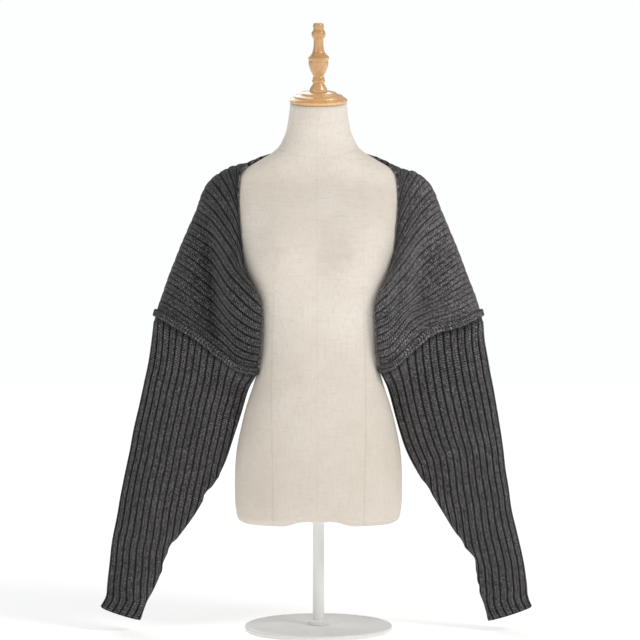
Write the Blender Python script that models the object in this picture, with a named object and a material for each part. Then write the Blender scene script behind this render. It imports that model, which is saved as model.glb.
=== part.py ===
"""Cropped rib-knit shrug worn by a limbless dress form on a short stand.

The shrug is one wide rib panel, whose ribs run over the shoulders and round the arms, with two
rib sleeves linked on at raised seams. Lengths are millimetres until the meshes are made; +Z is up,
-Y is the front, and the origin is on the floor under the middle of the stand.
Left and right are as seen from the front: left is -X.
"""

import math

import bpy
import bmesh
import numpy as np
from mathutils import Vector
from mathutils.bvhtree import BVHTree

MM = 0.001

# Clearances
GAP = 0.3
CLOTH_CLEARANCE = 1.0
SLEEVE_GAP = 0.8

# Stand
BASE_RADIUS = 140.0
BASE_HEIGHT = 10.0
BASE_ROUNDING = 3.0
POLE_RADIUS = 11.0
POLE_COLLAR_RADIUS = 20.0
POLE_COLLAR_HEIGHT = 8.0
POLE_PLATE_RADIUS = 24.0
POLE_PLATE_HEIGHT = 5.0
STAND_SIDES = 36

# Dress form
FORM_BOTTOM = 201.0
FORM_SIDES = 32
FORM_SQUARENESS = 2.25
CROTCH_ARCH_HEIGHT = 12.0
CROTCH_ARCH_FLAT = 30.0
CROTCH_ARCH_SPREAD = 64.0
CROTCH_ARCH_TOP = 240.0
UNDERSIDE_SHARES = (0.8, 0.6, 0.4, 0.2)
NECK_TILT = math.radians(15.0)
NECK_TILT_FROM = 925.0
NECK_TOP = 1000.0
NECK_CENTRE_Y = -5.0
BUST_X = 80.0
BUST_Z = 697.0
BUST_SIZE = 20.0
BUST_SPREAD_X = 40.0
BUST_SPREAD_UP = 52.0
BUST_SPREAD_DOWN = 34.0

FORM_COLUMNS = ("height", "half_width", "front", "back")
FORM_SECTIONS = (
    (201, 140, 86, 96),
    (206, 150, 94, 105),
    (224, 156, 99, 112),
    (276, 159, 102, 117),
    (337, 156, 101, 114),
    (380, 148, 98, 104),
    (421, 138, 95, 91),
    (485, 118, 89, 76),
    (522, 113, 87, 71),
    (560, 116, 88, 72),
    (626, 132, 93, 79),
    (690, 150, 96, 86),
    (740, 158, 93, 90),
    (790, 163, 83, 90),
    (828, 166, 67, 83),
    (848, 164, 57, 75),
    (861, 158, 53, 67),
    (874, 142, 51, 62),
    (887, 119, 50, 59),
    (897, 102, 49, 57),
    (907, 86, 49, 55),
    (916, 76, 50, 53),
    (930, 68, 51, 51),
    (945, 62, 53, 50),
    (970, 57, 56, 48),
    (1000, 53.5, 58, 48),
)

# Turned wooden cap and finial: radius against height over the neck's top
TURNED_SIDES = 14
CAP_PROFILE = (
    (52.0, 0.3),
    (54.5, 3.0),
    (54.5, 6.5),
    (50.0, 9.5),
    (47.5, 10.5),
    (45.5, 13.5),
    (38.0, 15.5),
    (36.0, 16.5),
    (33.0, 19.5),
    (22.0, 21.5),
)
FINIAL_PROFILE = (
    (17.0, 21.8),
    (16.4, 26.5),
    (12.2, 34.0),
    (10.6, 36.5),
    (12.2, 41.0),
    (12.2, 43.5),
    (11.0, 45.0),
    (12.2, 46.5),
    (9.8, 50.0),
    (15.0, 61.0),
    (18.4, 71.5),
    (18.8, 78.0),
    (18.2, 80.5),
    (20.6, 86.5),
    (15.6, 91.0),
    (11.0, 97.5),
    (9.2, 108.0),
    (9.2, 120.0),
    (12.4, 125.5),
    (13.3, 130.5),
    (12.2, 135.0),
    (9.7, 138.0),
    (10.2, 145.0),
    (8.6, 150.0),
)

# Knit: the wall under the ribs, and how far a rib stands above the wall
WALL = 2.2
CROTCH_WALL = 1.0
CROTCH_REACH = 24.0
RIB_RELIEF = 2.0

# Body panel. A rib runs from the opening's edge over the crest, the line that is highest or
# outermost from the front, and down the back to the hem. Ribs are counted from the centre back.
# Past SPLIT_RIB the edge and the hem are sewn together, and a rib is a loop round the arm.
LAST_RIB = 25
SPLIT_RIB = 17
FOLDING_RIBS = 4
SHOULDER_RIB = 6
PANEL_ROWS = 22
PATH_SAMPLES = 60
BEND_WEIGHT = 50.0
CREST_ROUNDING = 46.0
FOLD_ROUNDING = 40.0
EDGE_ROUNDING = 75.0
PLAIN_FROM_RIB = 24.2
EDGE_LIFT = 1.2
SETTLING_ROUNDS = 3
NORMAL_ROUNDS = 4
SETTLING_REACH = 16.0
FRONT_OF_ALL = -400.0

# Under the arm the hem lies between the form and the back of the loops, which keep this clear of it
UNDERARM_ROOM = 7.0
# The way the wall faces at the two points under the arms where the opening's edge closes
CROTCH_FACING = (-0.5, 0.4, -0.77)
UNDERARM_FROM_RIB = 16.0
UNDERARM_FULL_RIB = 17.5
UNDERARM_FRONT_Y = -62.0
UNDERARM_BACK_Y = -38.0
PRESSED_RIBS = 2.0
PRESSED_ROWS = 8

FRONT_COLUMNS = (
    "rib", "crest_x", "crest_y", "crest_z", "leave_deg",
    "edge_x", "edge_y", "edge_z", "arrive_deg", "depth",
)
FRONT_RIBS = (
    (0, 0, 60, 905, 90, 0, 60, 905, 90, 0),
    (3, 56, 46, 905, 90, 56, 46, 905, 90, 0),
    (6, 107, 8, 897, 92, 107, 8, 897, 92, 0),
    (8, 142, 4, 885, 94, 146, -34, 856, 88, 8),
    (10, 172, 0, 874, 68, 148.5, -48, 803, 80, 20),
    (12, 204, 0, 853, 46, 144.5, -58, 742, 78, 28),
    (13, 216.5, 0, 836, 38, 143, -62, 714, 72, 30),
    (15, 232, 0, 797, 31, 128, -72, 661, 62, 32),
    (17, 250, 0, 754, 30, 106.5, -62, 610, 46, 32),
    (19, 264.5, 0, 719, 28, 108.5, -56, 581, 26, 33),
    (22, 287, 0, 661, 24, 112, -42, 537, 14, 33),
    (25, 306, 0, 607, 20, 118.5, -28, 497, 6, 31),
)

BACK_COLUMNS = ("rib", "hem_x", "hem_y", "hem_z", "leave_deg", "arrive_deg", "depth", "round")
BACK_RIBS = (
    (0, 0, 82, 459, 90, 90, 14, 75),
    (3, 50, 78, 463, 90, 90, 22, 75),
    (6, 92, 58, 484, 90, 92, 44, 80),
    (8, 110, 42, 514, 88, 92, 56, 90),
    (10, 120, 28, 548, 76, 84, 64, 110),
    (12, 127, 12, 590, 58, 66, 70, 140),
    (13, 129, -2, 608, 50, 60, 73, 155),
    (14, 130, -17, 619, 44, 35, 76, 170),
    (15, 126, -28.3, 624.6, 40, 30, 78, 180),
    (16, 118, -44, 623.1, 37, 25, 66, 190),
    (17, 106.5, -62, 610, 34, 14, 66, 190),
    (19, 108.5, -56, 581, 30, 22, 68, 170),
    (22, 112, -42, 537, 25, 16, 56, 120),
    (25, 118.5, -28, 497, 20, 6, 46, 70),
)

# The soft trough down the front of each arm, where the knit sinks between arm and armpit
TROUGH_X = 203.0
TROUGH_WIDTH = 20.0
TROUGH_DEPTH = 9.0
TROUGH_TOP = 770.0
TROUGH_BOTTOM = 480.0
TROUGH_FADE = 90.0

# Sleeves: the outlines from the front, half the depth from front to back, and the middle's y
SLEEVE_ROWS = 14
SLEEVE_RIB_PITCH = 12.6
SLEEVE_PLAIN_TOP = 12.0
SLEEVE_SEAM_ALLOWANCE = 6.0
SLEEVE_SEAM_AT = 900.0
RING_SAMPLES = 96
# Rows of a sleeve: its outer x and z, its inner x and z, its half depth and its middle y
SLEEVE_LEFT = (
    (316.5, 531, 137, 445, 32, -2),
    (327, 474, 148, 408, 31, -4),
    (337, 428.5, 161.5, 364, 30, -6),
    (349.5, 370.5, 182.5, 306, 28, -8),
    (360, 317, 212, 257.5, 27, -10),
    (370, 263, 244, 205, 25, -12),
    (380.5, 210, 271.5, 169, 23, -13),
    (388.5, 160.5, 294.5, 130, 21, -14),
    (394.5, 109, 305, 94, 19, -14),
    (399, 71, 321, 60, 18, -13),
    (408.5, 43.5, 339, 21.5, 18, -12),
)
SLEEVE_RIGHT = (
    (315.5, 531, 133.5, 448, 32, -2),
    (326, 474, 144, 410, 31, -4),
    (334.5, 428.5, 157.5, 366, 30, -6),
    (344, 367.5, 182.5, 307, 28, -8),
    (351, 312.5, 215, 257.5, 27, -10),
    (358.5, 259.5, 245, 210, 25, -12),
    (367.5, 208, 269.5, 169, 23, -13),
    (379, 160.5, 297.5, 136, 21, -14),
    (388, 113, 301, 96, 19, -14),
    (394.5, 75, 309, 60, 18, -13),
    (399.5, 44.5, 323, 20, 18, -12),
)

# Linked seam: a rolled ridge between panel and sleeve, as places across it (towards the cuff) and
# up from the wall's middle. Between the walls it is as thick as they are; over them it rolls out.
SEAM_HALF_WIDTH = 5.5
SEAM_PROFILE = (
    (-5.5, -1.1),
    (-5.5, 2.2),
    (-7.0, 3.4),
    (-4.5, 5.8),
    (4.5, 6.2),
    (7.2, 4.0),
    (5.5, 2.2),
    (5.5, -1.1),
)

KNIT_GREY = (0.060, 0.058, 0.060)
LINEN = (0.76, 0.70, 0.62)
BEECH = (0.66, 0.40, 0.18)
WHITE_STEEL = (0.86, 0.86, 0.85)


def clear_scene():
    for obj in list(bpy.data.objects):
        bpy.data.objects.remove(obj)


def material(name, colour, roughness, metallic=0.0):
    made = bpy.data.materials.new(name)
    made.use_nodes = True
    shader = made.node_tree.nodes["Principled BSDF"]
    shader.inputs["Base Color"].default_value = (*colour, 1.0)
    shader.inputs["Roughness"].default_value = roughness
    shader.inputs["Metallic"].default_value = metallic
    return made


def add_solid(name, points, faces, finish):
    """A closed mesh from points in millimetres, with its faces turned outwards."""
    mesh = bpy.data.meshes.new(name)
    mesh.from_pydata([tuple(p) for p in np.asarray(points) * MM], [], faces)
    work = bmesh.new()
    work.from_mesh(mesh)
    bmesh.ops.recalc_face_normals(work, faces=work.faces)
    work.to_mesh(mesh)
    work.free()
    mesh.shade_smooth()
    mesh.set_sharp_from_angle(angle=math.radians(50.0))
    mesh.materials.append(finish)
    obj = bpy.data.objects.new(name, mesh)
    bpy.context.scene.collection.objects.link(obj)
    return obj


def smooth_table(columns, rows, key, at):
    """Each column of a table at the places given, as a dict, by monotone cubics through its rows."""
    table = np.array(rows, float)
    at = np.asarray(at, float)
    x = table[:, columns.index(key)]
    step = np.diff(x)
    place = np.clip(np.searchsorted(x, at, side="right") - 1, 0, len(step) - 1)
    share = (np.clip(at, x[0], x[-1]) - x[place]) / step[place]
    found = {}
    for number, name in enumerate(columns):
        y = table[:, number]
        slope = np.diff(y) / step
        turn = np.concatenate([[slope[0]], (slope[1:] + slope[:-1]) / 2, [slope[-1]]])
        flat = slope[1:] * slope[:-1] <= 0
        turn[1:-1][flat] = 0
        limit = 3 * np.minimum(np.abs(slope[1:]), np.abs(slope[:-1]))
        turn[1:-1] = np.clip(turn[1:-1], -limit, limit)
        s2, s3 = share**2, share**3
        found[name] = (
            y[place] * (2 * s3 - 3 * s2 + 1)
            + y[place + 1] * (3 * s2 - 2 * s3)
            + turn[place] * step[place] * (s3 - 2 * s2 + share)
            + turn[place + 1] * step[place] * (s3 - s2)
        )
    return found


def smoothstep(value):
    value = np.clip(value, 0, 1)
    return value * value * (3 - 2 * value)


def quarter(value):
    """The height of a quarter circle: 0 at 0, upright there, and level from 1 on."""
    value = np.clip(value, 0, 1)
    return np.sqrt(1 - (1 - value) ** 2)


def resample(points, count):
    """The polyline at count points equally far apart along it."""
    steps = np.linalg.norm(np.diff(points, axis=0), axis=1)
    along = np.concatenate([[0], np.cumsum(steps)])
    wanted = np.linspace(0, along[-1], count)
    return np.stack([np.interp(wanted, along, points[:, i]) for i in range(3)], axis=1)


def resample_bends(points, count):
    """The polyline at count points, which lie closer together where it bends."""
    steps = np.diff(points, axis=0)
    lengths = np.linalg.norm(steps, axis=1)
    heading = steps / np.maximum(lengths, 1e-9)[:, None]
    bends = np.arccos(np.clip((heading[1:] * heading[:-1]).sum(axis=1), -1, 1))
    share = np.concatenate([[0], bends]) / 2 + np.concatenate([bends, [0]]) / 2
    along = np.concatenate([[0], np.cumsum(lengths + BEND_WEIGHT * share)])
    wanted = np.linspace(0, along[-1], count)
    return np.stack([np.interp(wanted, along, points[:, i]) for i in range(3)], axis=1)


def zip_rows(first, first_at, second, second_at):
    """Triangles between two rows of point numbers, whose places along the row are given."""
    faces = []
    i = j = 0
    while i < len(first) - 1 or j < len(second) - 1:
        take_first = j == len(second) - 1 or (
            i < len(first) - 1 and first_at[i + 1] <= second_at[j + 1]
        )
        if take_first:
            corners = (first[i], first[i + 1], second[j])
            i += 1
        else:
            corners = (first[i], second[j + 1], second[j])
            j += 1
        if len(set(corners)) == 3:
            faces.append(corners)
    return faces


def turned_solid(name, profile, finish, sides, axis_base, axis):
    """A turned piece: rings of the profile's (radius, height) about an axis, closed at both ends."""
    axis = np.array(axis, float)
    across = np.array((1.0, 0.0, 0.0))
    other = np.cross(axis, across)
    points = []
    for radius, height in profile:
        for turn in np.linspace(0, 2 * math.pi, sides, endpoint=False):
            spoke = radius * (math.cos(turn) * across + math.sin(turn) * other)
            points.append(np.array(axis_base) + height * axis + spoke)
    faces = []
    for ring in range(len(profile) - 1):
        for side in range(sides):
            after = (side + 1) % sides
            low, high = ring * sides, (ring + 1) * sides
            faces.append((low + side, low + after, high + after, high + side))
    faces.append(tuple(range(sides)))
    faces.append(tuple((len(profile) - 1) * sides + side for side in range(sides)))
    return add_solid(name, points, faces, finish)


# Dress form


def crotch_arch(x):
    """How far the underside is raised at a distance x from the middle."""
    fall = (np.abs(x) - CROTCH_ARCH_FLAT) / (CROTCH_ARCH_SPREAD - CROTCH_ARCH_FLAT)
    return CROTCH_ARCH_HEIGHT * (1 - smoothstep(fall))


def bust(x, z):
    """How far the front is filled out at x and z."""
    drop = z - BUST_Z
    spread = np.where(drop > 0, BUST_SPREAD_UP, BUST_SPREAD_DOWN)
    beside = (np.abs(x) - BUST_X) / BUST_SPREAD_X
    return BUST_SIZE * np.exp(-(beside**2) / 2 - (drop / spread) ** 2 / 2)


def form_ring(height, share=1.0):
    """One section of the form, or of its underside, where it is drawn in to a share of its size."""
    size = smooth_table(FORM_COLUMNS, FORM_SECTIONS, "height", height)
    turn = np.linspace(0, 2 * math.pi, FORM_SIDES, endpoint=False)
    power = 2 / FORM_SQUARENESS
    cosine, sine = np.cos(turn), np.sin(turn)
    x = size["half_width"] * np.sign(cosine) * np.abs(cosine) ** power
    depth = np.where(sine < 0, size["front"], size["back"])
    y = depth * np.sign(sine) * np.abs(sine) ** power
    y = y - bust(x, height) * np.where(sine < 0, np.abs(sine) ** power, 0)
    lifted = smoothstep((CROTCH_ARCH_TOP - height) / (CROTCH_ARCH_TOP - FORM_BOTTOM))
    z = height + lifted * crotch_arch(x * share)
    tilt = smoothstep((height - NECK_TILT_FROM) / (NECK_TOP - NECK_TILT_FROM))
    z = z + tilt * math.tan(NECK_TILT) * (y - NECK_CENTRE_Y)
    return np.stack([x * share, y * share, z * np.ones_like(x)], axis=1)


def form_heights():
    """The tabled heights, with one more between those that lie far apart."""
    tabled = [row[0] for row in FORM_SECTIONS]
    heights = []
    for low, high in zip(tabled, tabled[1:]):
        heights.append(low)
        if high - low > 45:
            heights.append((low + high) / 2)
    return heights + [tabled[-1]]


def form_mesh():
    rings = [form_ring(FORM_BOTTOM, share) for share in reversed(UNDERSIDE_SHARES)]
    rings += [form_ring(height) for height in form_heights()]
    points = np.concatenate(rings)
    faces = []
    for ring in range(len(rings) - 1):
        for side in range(FORM_SIDES):
            after = (side + 1) % FORM_SIDES
            low, high = ring * FORM_SIDES, (ring + 1) * FORM_SIDES
            faces.append((low + side, low + after, high + after, high + side))
    faces.append(tuple(reversed(range(FORM_SIDES))))
    faces.append(tuple(range(len(points) - FORM_SIDES, len(points))))
    return points, faces


def build_form(finish, wood):
    points, faces = form_mesh()
    add_solid("form_torso", points, faces, finish)
    neck_middle = (0.0, NECK_CENTRE_Y, NECK_TOP)
    lean = (0.0, -math.sin(NECK_TILT), math.cos(NECK_TILT))
    turned_solid("neck_cap", CAP_PROFILE, wood, 2 * TURNED_SIDES, neck_middle, lean)
    turned_solid("neck_finial", FINIAL_PROFILE, wood, TURNED_SIDES, neck_middle, lean)
    return BVHTree.FromPolygons([Vector(p) for p in points], faces)


def build_stand(finish):
    up = (0.0, 0.0, 1.0)
    rim = BASE_RADIUS - BASE_ROUNDING
    shoulder = BASE_HEIGHT - BASE_ROUNDING
    base = [(BASE_RADIUS - 1, 0), (BASE_RADIUS, 1), (BASE_RADIUS, shoulder)]
    base += [(BASE_RADIUS - 0.3 * BASE_ROUNDING, BASE_HEIGHT - 0.3 * BASE_ROUNDING)]
    base += [(rim, BASE_HEIGHT)]
    turned_solid("stand_base", base, finish, STAND_SIDES, (0, 0, 0), up)
    foot = BASE_HEIGHT + GAP
    top = FORM_BOTTOM + CROTCH_ARCH_HEIGHT - GAP
    pole = [(POLE_COLLAR_RADIUS, foot)]
    pole += [(POLE_COLLAR_RADIUS, foot + POLE_COLLAR_HEIGHT - 2)]
    pole += [(POLE_COLLAR_RADIUS - 2, foot + POLE_COLLAR_HEIGHT)]
    pole += [(POLE_RADIUS, foot + POLE_COLLAR_HEIGHT + 1)]
    pole += [(POLE_RADIUS, top - POLE_PLATE_HEIGHT - 6)]
    pole += [(POLE_PLATE_RADIUS, top - POLE_PLATE_HEIGHT)]
    pole += [(POLE_PLATE_RADIUS, top)]
    turned_solid("stand_pole", pole, finish, STAND_SIDES // 2, (0, 0, 0), up)


# Cloth


def clear_of_form(points, form, need):
    """The points, each moved out until it is a distance of need from the form."""
    moved = np.array(points, float)
    for number, point in enumerate(moved):
        place, normal, height = nearest_on_form(point, form)
        if height < need:
            moved[number] = place + normal * need
    return moved


def nearest_on_form(point, form):
    """The form's nearest point and its outward normal there, and the point's height over it."""
    place, normal, _, _ = form.find_nearest(Vector(point))
    place, normal = np.array(place), np.array(normal)
    return place, normal, (np.array(point) - place) @ normal


def hermite(start, end, leave, arrive, share):
    """A curve in the front view between two (x, z) points; angles are below the horizontal, inwards."""
    chord = math.hypot(end[0] - start[0], end[1] - start[1])
    out = chord * np.array((-math.cos(leave), -math.sin(leave)))
    into = chord * np.array((-math.cos(arrive), -math.sin(arrive)))
    s = share[:, None]
    return (
        np.array(start) * (2 * s**3 - 3 * s**2 + 1)
        + np.array(end) * (3 * s**2 - 2 * s**3)
        + out * (s**3 - 2 * s**2 + s)
        + into * (s**3 - s**2)
    )


def layer(start, end, leave, arrive, depth, rounding, folded):
    """The cloth from the crest to an edge: its front view line, swelled by depth in y.

    Over the last stretch, of length rounding, it turns back steeply at a folded end (1), and comes
    down gently at an open one (0).
    """
    share = (1 - np.cos(np.linspace(0, math.pi, PATH_SAMPLES))) / 2
    flat = hermite((start[0], start[2]), (end[0], end[2]), leave, arrive, share)
    steps = np.linalg.norm(np.diff(flat, axis=0), axis=1)
    along = np.concatenate([[0], np.cumsum(steps)])
    length = max(along[-1], 1e-6)
    left = length - along
    turned = quarter(left / min(FOLD_ROUNDING, length / 2))
    laid = smoothstep(left / min(rounding, length * 0.9))
    swell = quarter(along / min(CREST_ROUNDING, length / 2)) * (folded * turned + (1 - folded) * laid)
    y = start[1] + (end[1] - start[1]) * along / length + depth * swell
    return np.stack([flat[:, 0], y, flat[:, 1]], axis=1)


def trough(points):
    """The points of an arm's front with the soft trough pressed into them."""
    x, y, z = points.T
    beside = np.exp(-(((np.abs(x) - TROUGH_X) / TROUGH_WIDTH) ** 2) / 2)
    ends = smoothstep((TROUGH_TOP - z) / TROUGH_FADE) * smoothstep((z - TROUGH_BOTTOM) / TROUGH_FADE)
    front = smoothstep(-y / 30)
    return np.stack([x, y + TROUGH_DEPTH * beside * ends * front, z], axis=1)


def rib_path(rib, form):
    """One rib of the right half, from the opening's edge over the crest to the hem."""
    front = smooth_table(FRONT_COLUMNS, FRONT_RIBS, "rib", rib)
    back = smooth_table(BACK_COLUMNS, BACK_RIBS, "rib", rib)
    crest = np.array([front["crest_x"], front["crest_y"], front["crest_z"]])
    edge = np.array([front["edge_x"], front["edge_y"], front["edge_z"]])
    hem = np.array([back["hem_x"], back["hem_y"], back["hem_z"]])
    folded = smoothstep((rib - SPLIT_RIB + FOLDING_RIBS) / FOLDING_RIBS)
    need = CLOTH_CLEARANCE + WALL / 2
    if rib > SHOULDER_RIB:
        seen_from = Vector((edge[0], FRONT_OF_ALL, edge[2]))
        place, normal, _, _ = form.ray_cast(seen_from, Vector((0, 1, 0)))
        if place is not None:
            on_form = place[1] - need / max(abs(normal[1]), 0.4)
            edge[1] = on_form + (min(edge[1], on_form) - on_form) * folded
    if rib >= SPLIT_RIB:
        hem = edge
    else:
        place, normal, _ = nearest_on_form(hem, form)
        hem = place + normal * need
    leave, arrive = math.radians(back["leave_deg"]), math.radians(back["arrive_deg"])
    down_back = layer(crest, hem, leave, arrive, back["depth"], back["round"], 0)
    if rib <= SHOULDER_RIB:
        return down_back
    leave, arrive = math.radians(front["leave_deg"]), math.radians(front["arrive_deg"])
    down_front = layer(crest, edge, leave, arrive, -front["depth"], EDGE_ROUNDING, folded)
    return np.concatenate([down_front[::-1], down_back[1:]])


def panel_grid(steps_per_rib, rows, form):
    """The panel's middle surface: points[column][row], columns from the left seam to the right."""
    half = []
    for step in range(LAST_RIB * steps_per_rib + 1):
        half.append(trough(resample_bends(rib_path(step / steps_per_rib, form), rows + 1)))
    half = np.array(half)
    mirrored = half[:0:-1] * np.array((-1, 1, 1))
    grid = np.concatenate([mirrored, half])
    ribs = np.abs(np.arange(len(grid)) / steps_per_rib - LAST_RIB)
    loops = ribs >= SPLIT_RIB
    for _ in range(SETTLING_ROUNDS):
        grid, near = settled(grid, ribs, form)
        grid = relaxed(grid, near, loops)
    for _ in range(SETTLING_ROUNDS):
        grid, _ = settled(grid, ribs, form)
        grid[loops, -1] = grid[loops, 0]
    return grid, ribs


def room_needed(rib, row_share, y):
    """How far from the form the panel's middle keeps at a rib, at a share of the way to the hem."""
    under_arm = smoothstep((rib - UNDERARM_FROM_RIB) / (UNDERARM_FULL_RIB - UNDERARM_FROM_RIB))
    behind = smoothstep((y - UNDERARM_FRONT_Y) / (UNDERARM_BACK_Y - UNDERARM_FRONT_Y))
    room = UNDERARM_ROOM * under_arm * behind * (row_share > 0.5)
    return CLOTH_CLEARANCE + WALL / 2 + room


def settled(grid, ribs, form):
    """The grid moved clear of the form, at its points and midway between them, and what lies near."""
    grid = grid.copy()
    near = np.zeros(grid.shape[:2], bool)
    rows = grid.shape[1] - 1
    for column, row in np.ndindex(grid.shape[:2]):
        place, normal, height = nearest_on_form(grid[column, row], form)
        near[column, row] = height < SETTLING_REACH
        need = room_needed(ribs[column], row / rows, place[1])
        if height < need:
            grid[column, row] = place + normal * need
    for across, down in ((2, 0), (0, 1), (2, 1), (2, -1)):
        for column in range(0, grid.shape[0] - across, 2):
            for row in range(max(0, -down), grid.shape[1] - max(0, down)):
                ends = (column, row), (column + across, row + down)
                if not (near[ends[0]] or near[ends[1]]):
                    continue
                middle = (grid[ends[0]] + grid[ends[1]]) / 2
                _, normal, height = nearest_on_form(middle, form)
                short = CLOTH_CLEARANCE + WALL / 2 - height
                if short > 0:
                    grid[ends[0]] += normal * short * 0.6
                    grid[ends[1]] += normal * short * 0.6
    return grid, near


def relaxed(grid, near, loops):
    """The grid with each point that lies near the form drawn towards its neighbours."""
    soft = grid.copy()
    around = grid[:-2, 1:-1] + grid[2:, 1:-1] + grid[1:-1, :-2] + grid[1:-1, 2:]
    soft[1:-1, 1:-1] = 0.4 * grid[1:-1, 1:-1] + 0.15 * around
    rims = grid[:, (0, -1)]
    soft[1:-1, (0, -1)] = 0.6 * rims[1:-1] + 0.2 * (rims[:-2] + rims[2:])
    soft[~near] = grid[~near]
    soft[loops, -1] = soft[loops, 0]
    return soft


def grid_numbers(columns, rows, loops, first=0):
    """Point numbers of a grid in which a loop's last row is its first."""
    numbers = np.arange(first, first + columns * rows).reshape(columns, rows)
    numbers[loops, -1] = numbers[loops, 0]
    return numbers


def grid_normals(grid, loops):
    """Unit normals of a grid's points, pointing away from the wearer."""
    numbers = grid_numbers(grid.shape[0], grid.shape[1], loops)
    flat = grid.reshape(-1, 3)
    total = np.zeros_like(flat)
    a, b = numbers[:-1, :-1].ravel(), numbers[1:, :-1].ravel()
    c, d = numbers[1:, 1:].ravel(), numbers[:-1, 1:].ravel()
    faces = np.cross(flat[c] - flat[a], flat[d] - flat[b])
    for corner in (a, b, c, d):
        np.add.at(total, corner, faces)
    normals = unit(total[numbers])
    for _ in range(NORMAL_ROUNDS):
        around = normals.copy()
        around[1:-1] += (normals[:-2] + normals[2:]) / 2
        around[:, 1:-1] += (normals[:, :-2] + normals[:, 2:]) / 2
        around[loops, 0] += normals[loops, 1] + normals[loops, -2]
        around[loops, -1] = around[loops, 0]
        normals = unit(around)
    if normals[-1, grid.shape[1] // 2][0] < 0:
        normals = -normals
    closed = np.flatnonzero(loops)
    halfway = len(grid) // 2
    for column, side in ((closed[closed < halfway][-1], -1), (closed[closed > halfway][0], 1)):
        normals[column, 0] = unit(np.array(CROTCH_FACING) * (side, 1, 1))
        normals[column, -1] = normals[column, 0]
    return normals


def panel_mesh(form):
    """The knit panel as a closed wall: ribs on its outside, plain inside."""
    grid, ribs = panel_grid(2, PANEL_ROWS, form)
    loops = ribs >= SPLIT_RIB
    normals = grid_normals(grid, loops)
    column_at = np.arange(len(grid))
    on_rib = (column_at % 2 == 1) & (ribs < PLAIN_FROM_RIB)
    relief = RIB_RELIEF * on_rib[:, None] * np.ones(grid.shape[1])
    relief[ribs < SPLIT_RIB, 0] = EDGE_LIFT
    relief[ribs < SPLIT_RIB, -1] = EDGE_LIFT
    creased = np.abs(ribs - SPLIT_RIB) < PRESSED_RIBS
    relief[creased, -PRESSED_ROWS:] = 0
    relief[creased, 0] = 0
    lined = np.flatnonzero((column_at % 2 == 0) | creased)
    half_wall = half_wall_at(grid)[:, :, None]
    outside = grid + normals * (half_wall + relief[:, :, None])
    inside = grid[lined] - normals[lined] * half_wall[lined]
    outer = grid_numbers(*grid.shape[:2], loops)
    inner = grid_numbers(*inside.shape[:2], loops[lined], first=outer.size)
    points = np.concatenate([outside.reshape(-1, 3), inside.reshape(-1, 3)])
    row_at = np.arange(grid.shape[1])
    faces = []
    for numbers in (outer, inner):
        for left, right in zip(numbers, numbers[1:]):
            faces += zip_rows(list(left), row_at, list(right), row_at)
    for side in (0, -1):
        faces += zip_rows(list(outer[side]), row_at, list(inner[side]), row_at)
    rim = ribs <= SPLIT_RIB
    for row in (0, -1):
        faces += zip_rows(
            list(outer[rim, row]), column_at[rim], list(inner[rim[lined], row]), lined[rim[lined]]
        )
    return grid, ribs, normals, *without_spares(points, faces)


def half_wall_at(grid):
    """Half the panel's wall at each point: it is drawn thin at the crotch, where edge and hem meet."""
    crotch = np.array(FRONT_RIBS[[row[0] for row in FRONT_RIBS].index(SPLIT_RIB)][5:8])
    reach = np.linalg.norm(np.abs(grid) * (1, 0, 0) + grid * (0, 1, 1) - crotch, axis=2)
    thin = 1 - smoothstep(reach / CROTCH_REACH)
    return (WALL + (CROTCH_WALL - WALL) * thin) / 2


def without_spares(points, faces):
    """The points that faces use, and the faces renumbered to them."""
    used = sorted({corner for face in faces for corner in face})
    place = {old: new for new, old in enumerate(used)}
    return points[used], [tuple(place[c] for c in face) for face in faces]


def sleeve_ring(row):
    """One section of a sleeve as RING_SAMPLES points from the inner fold over the front, and back."""
    outer_x, outer_z, inner_x, inner_z, half_depth, middle_y = row
    turn = np.linspace(0, 2 * math.pi, 4 * RING_SAMPLES)
    middle = np.array(((outer_x + inner_x) / 2, middle_y, (outer_z + inner_z) / 2))
    reach = np.array(((inner_x - outer_x) / 2, 0, (inner_z - outer_z) / 2))
    depth = np.array((0, half_depth, 0))
    ring = middle + np.outer(np.cos(turn), reach) - np.outer(np.sin(turn), depth)
    return resample(ring, RING_SAMPLES + 1)[:-1]


def sleeve_controls(rows, seam_loop):
    """Control rings down the sleeve: the seam's own loop, then the tabled sections."""
    start = ring_at(seam_loop, np.arange(RING_SAMPLES) / RING_SAMPLES)
    return np.array([start] + [sleeve_ring(row) for row in rows])


def spline_rings(controls, count):
    """Rings equally far apart along smooth curves through the control rings, and how far down."""
    middles = controls.mean(axis=1)
    steps = np.linalg.norm(np.diff(middles, axis=0), axis=1)
    along = np.concatenate([[0], np.cumsum(steps)])
    wanted = np.linspace(0, along[-1], count)
    names = ("along",) + tuple(range(controls.shape[1] * 3))
    rows = np.column_stack([along, controls.reshape(len(controls), -1)])
    found = smooth_table(names, rows, "along", wanted)
    rings = np.stack([found[name] for name in names[1:]], axis=1)
    return rings.reshape(count, controls.shape[1], 3), wanted


def ring_at(ring, shares):
    """Points of a closed ring at shares of its length, from its first point."""
    closed = np.concatenate([ring, ring[:1]])
    steps = np.linalg.norm(np.diff(closed, axis=0), axis=1)
    along = np.concatenate([[0], np.cumsum(steps)])
    wanted = np.asarray(shares) * along[-1]
    return np.stack([np.interp(wanted, along, closed[:, i]) for i in range(3)], axis=1)


def carried(vectors, ring):
    """Unit vectors given at a ring's points, carried to RING_SAMPLES places equally far along it."""
    closed = np.concatenate([ring, ring[:1]])
    along = np.concatenate([[0], np.cumsum(np.linalg.norm(np.diff(closed, axis=0), axis=1))])
    wanted = np.arange(RING_SAMPLES) / RING_SAMPLES * along[-1]
    ends = np.concatenate([vectors, vectors[:1]])
    return unit(np.stack([np.interp(wanted, along, ends[:, i]) for i in range(3)], axis=1))


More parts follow.
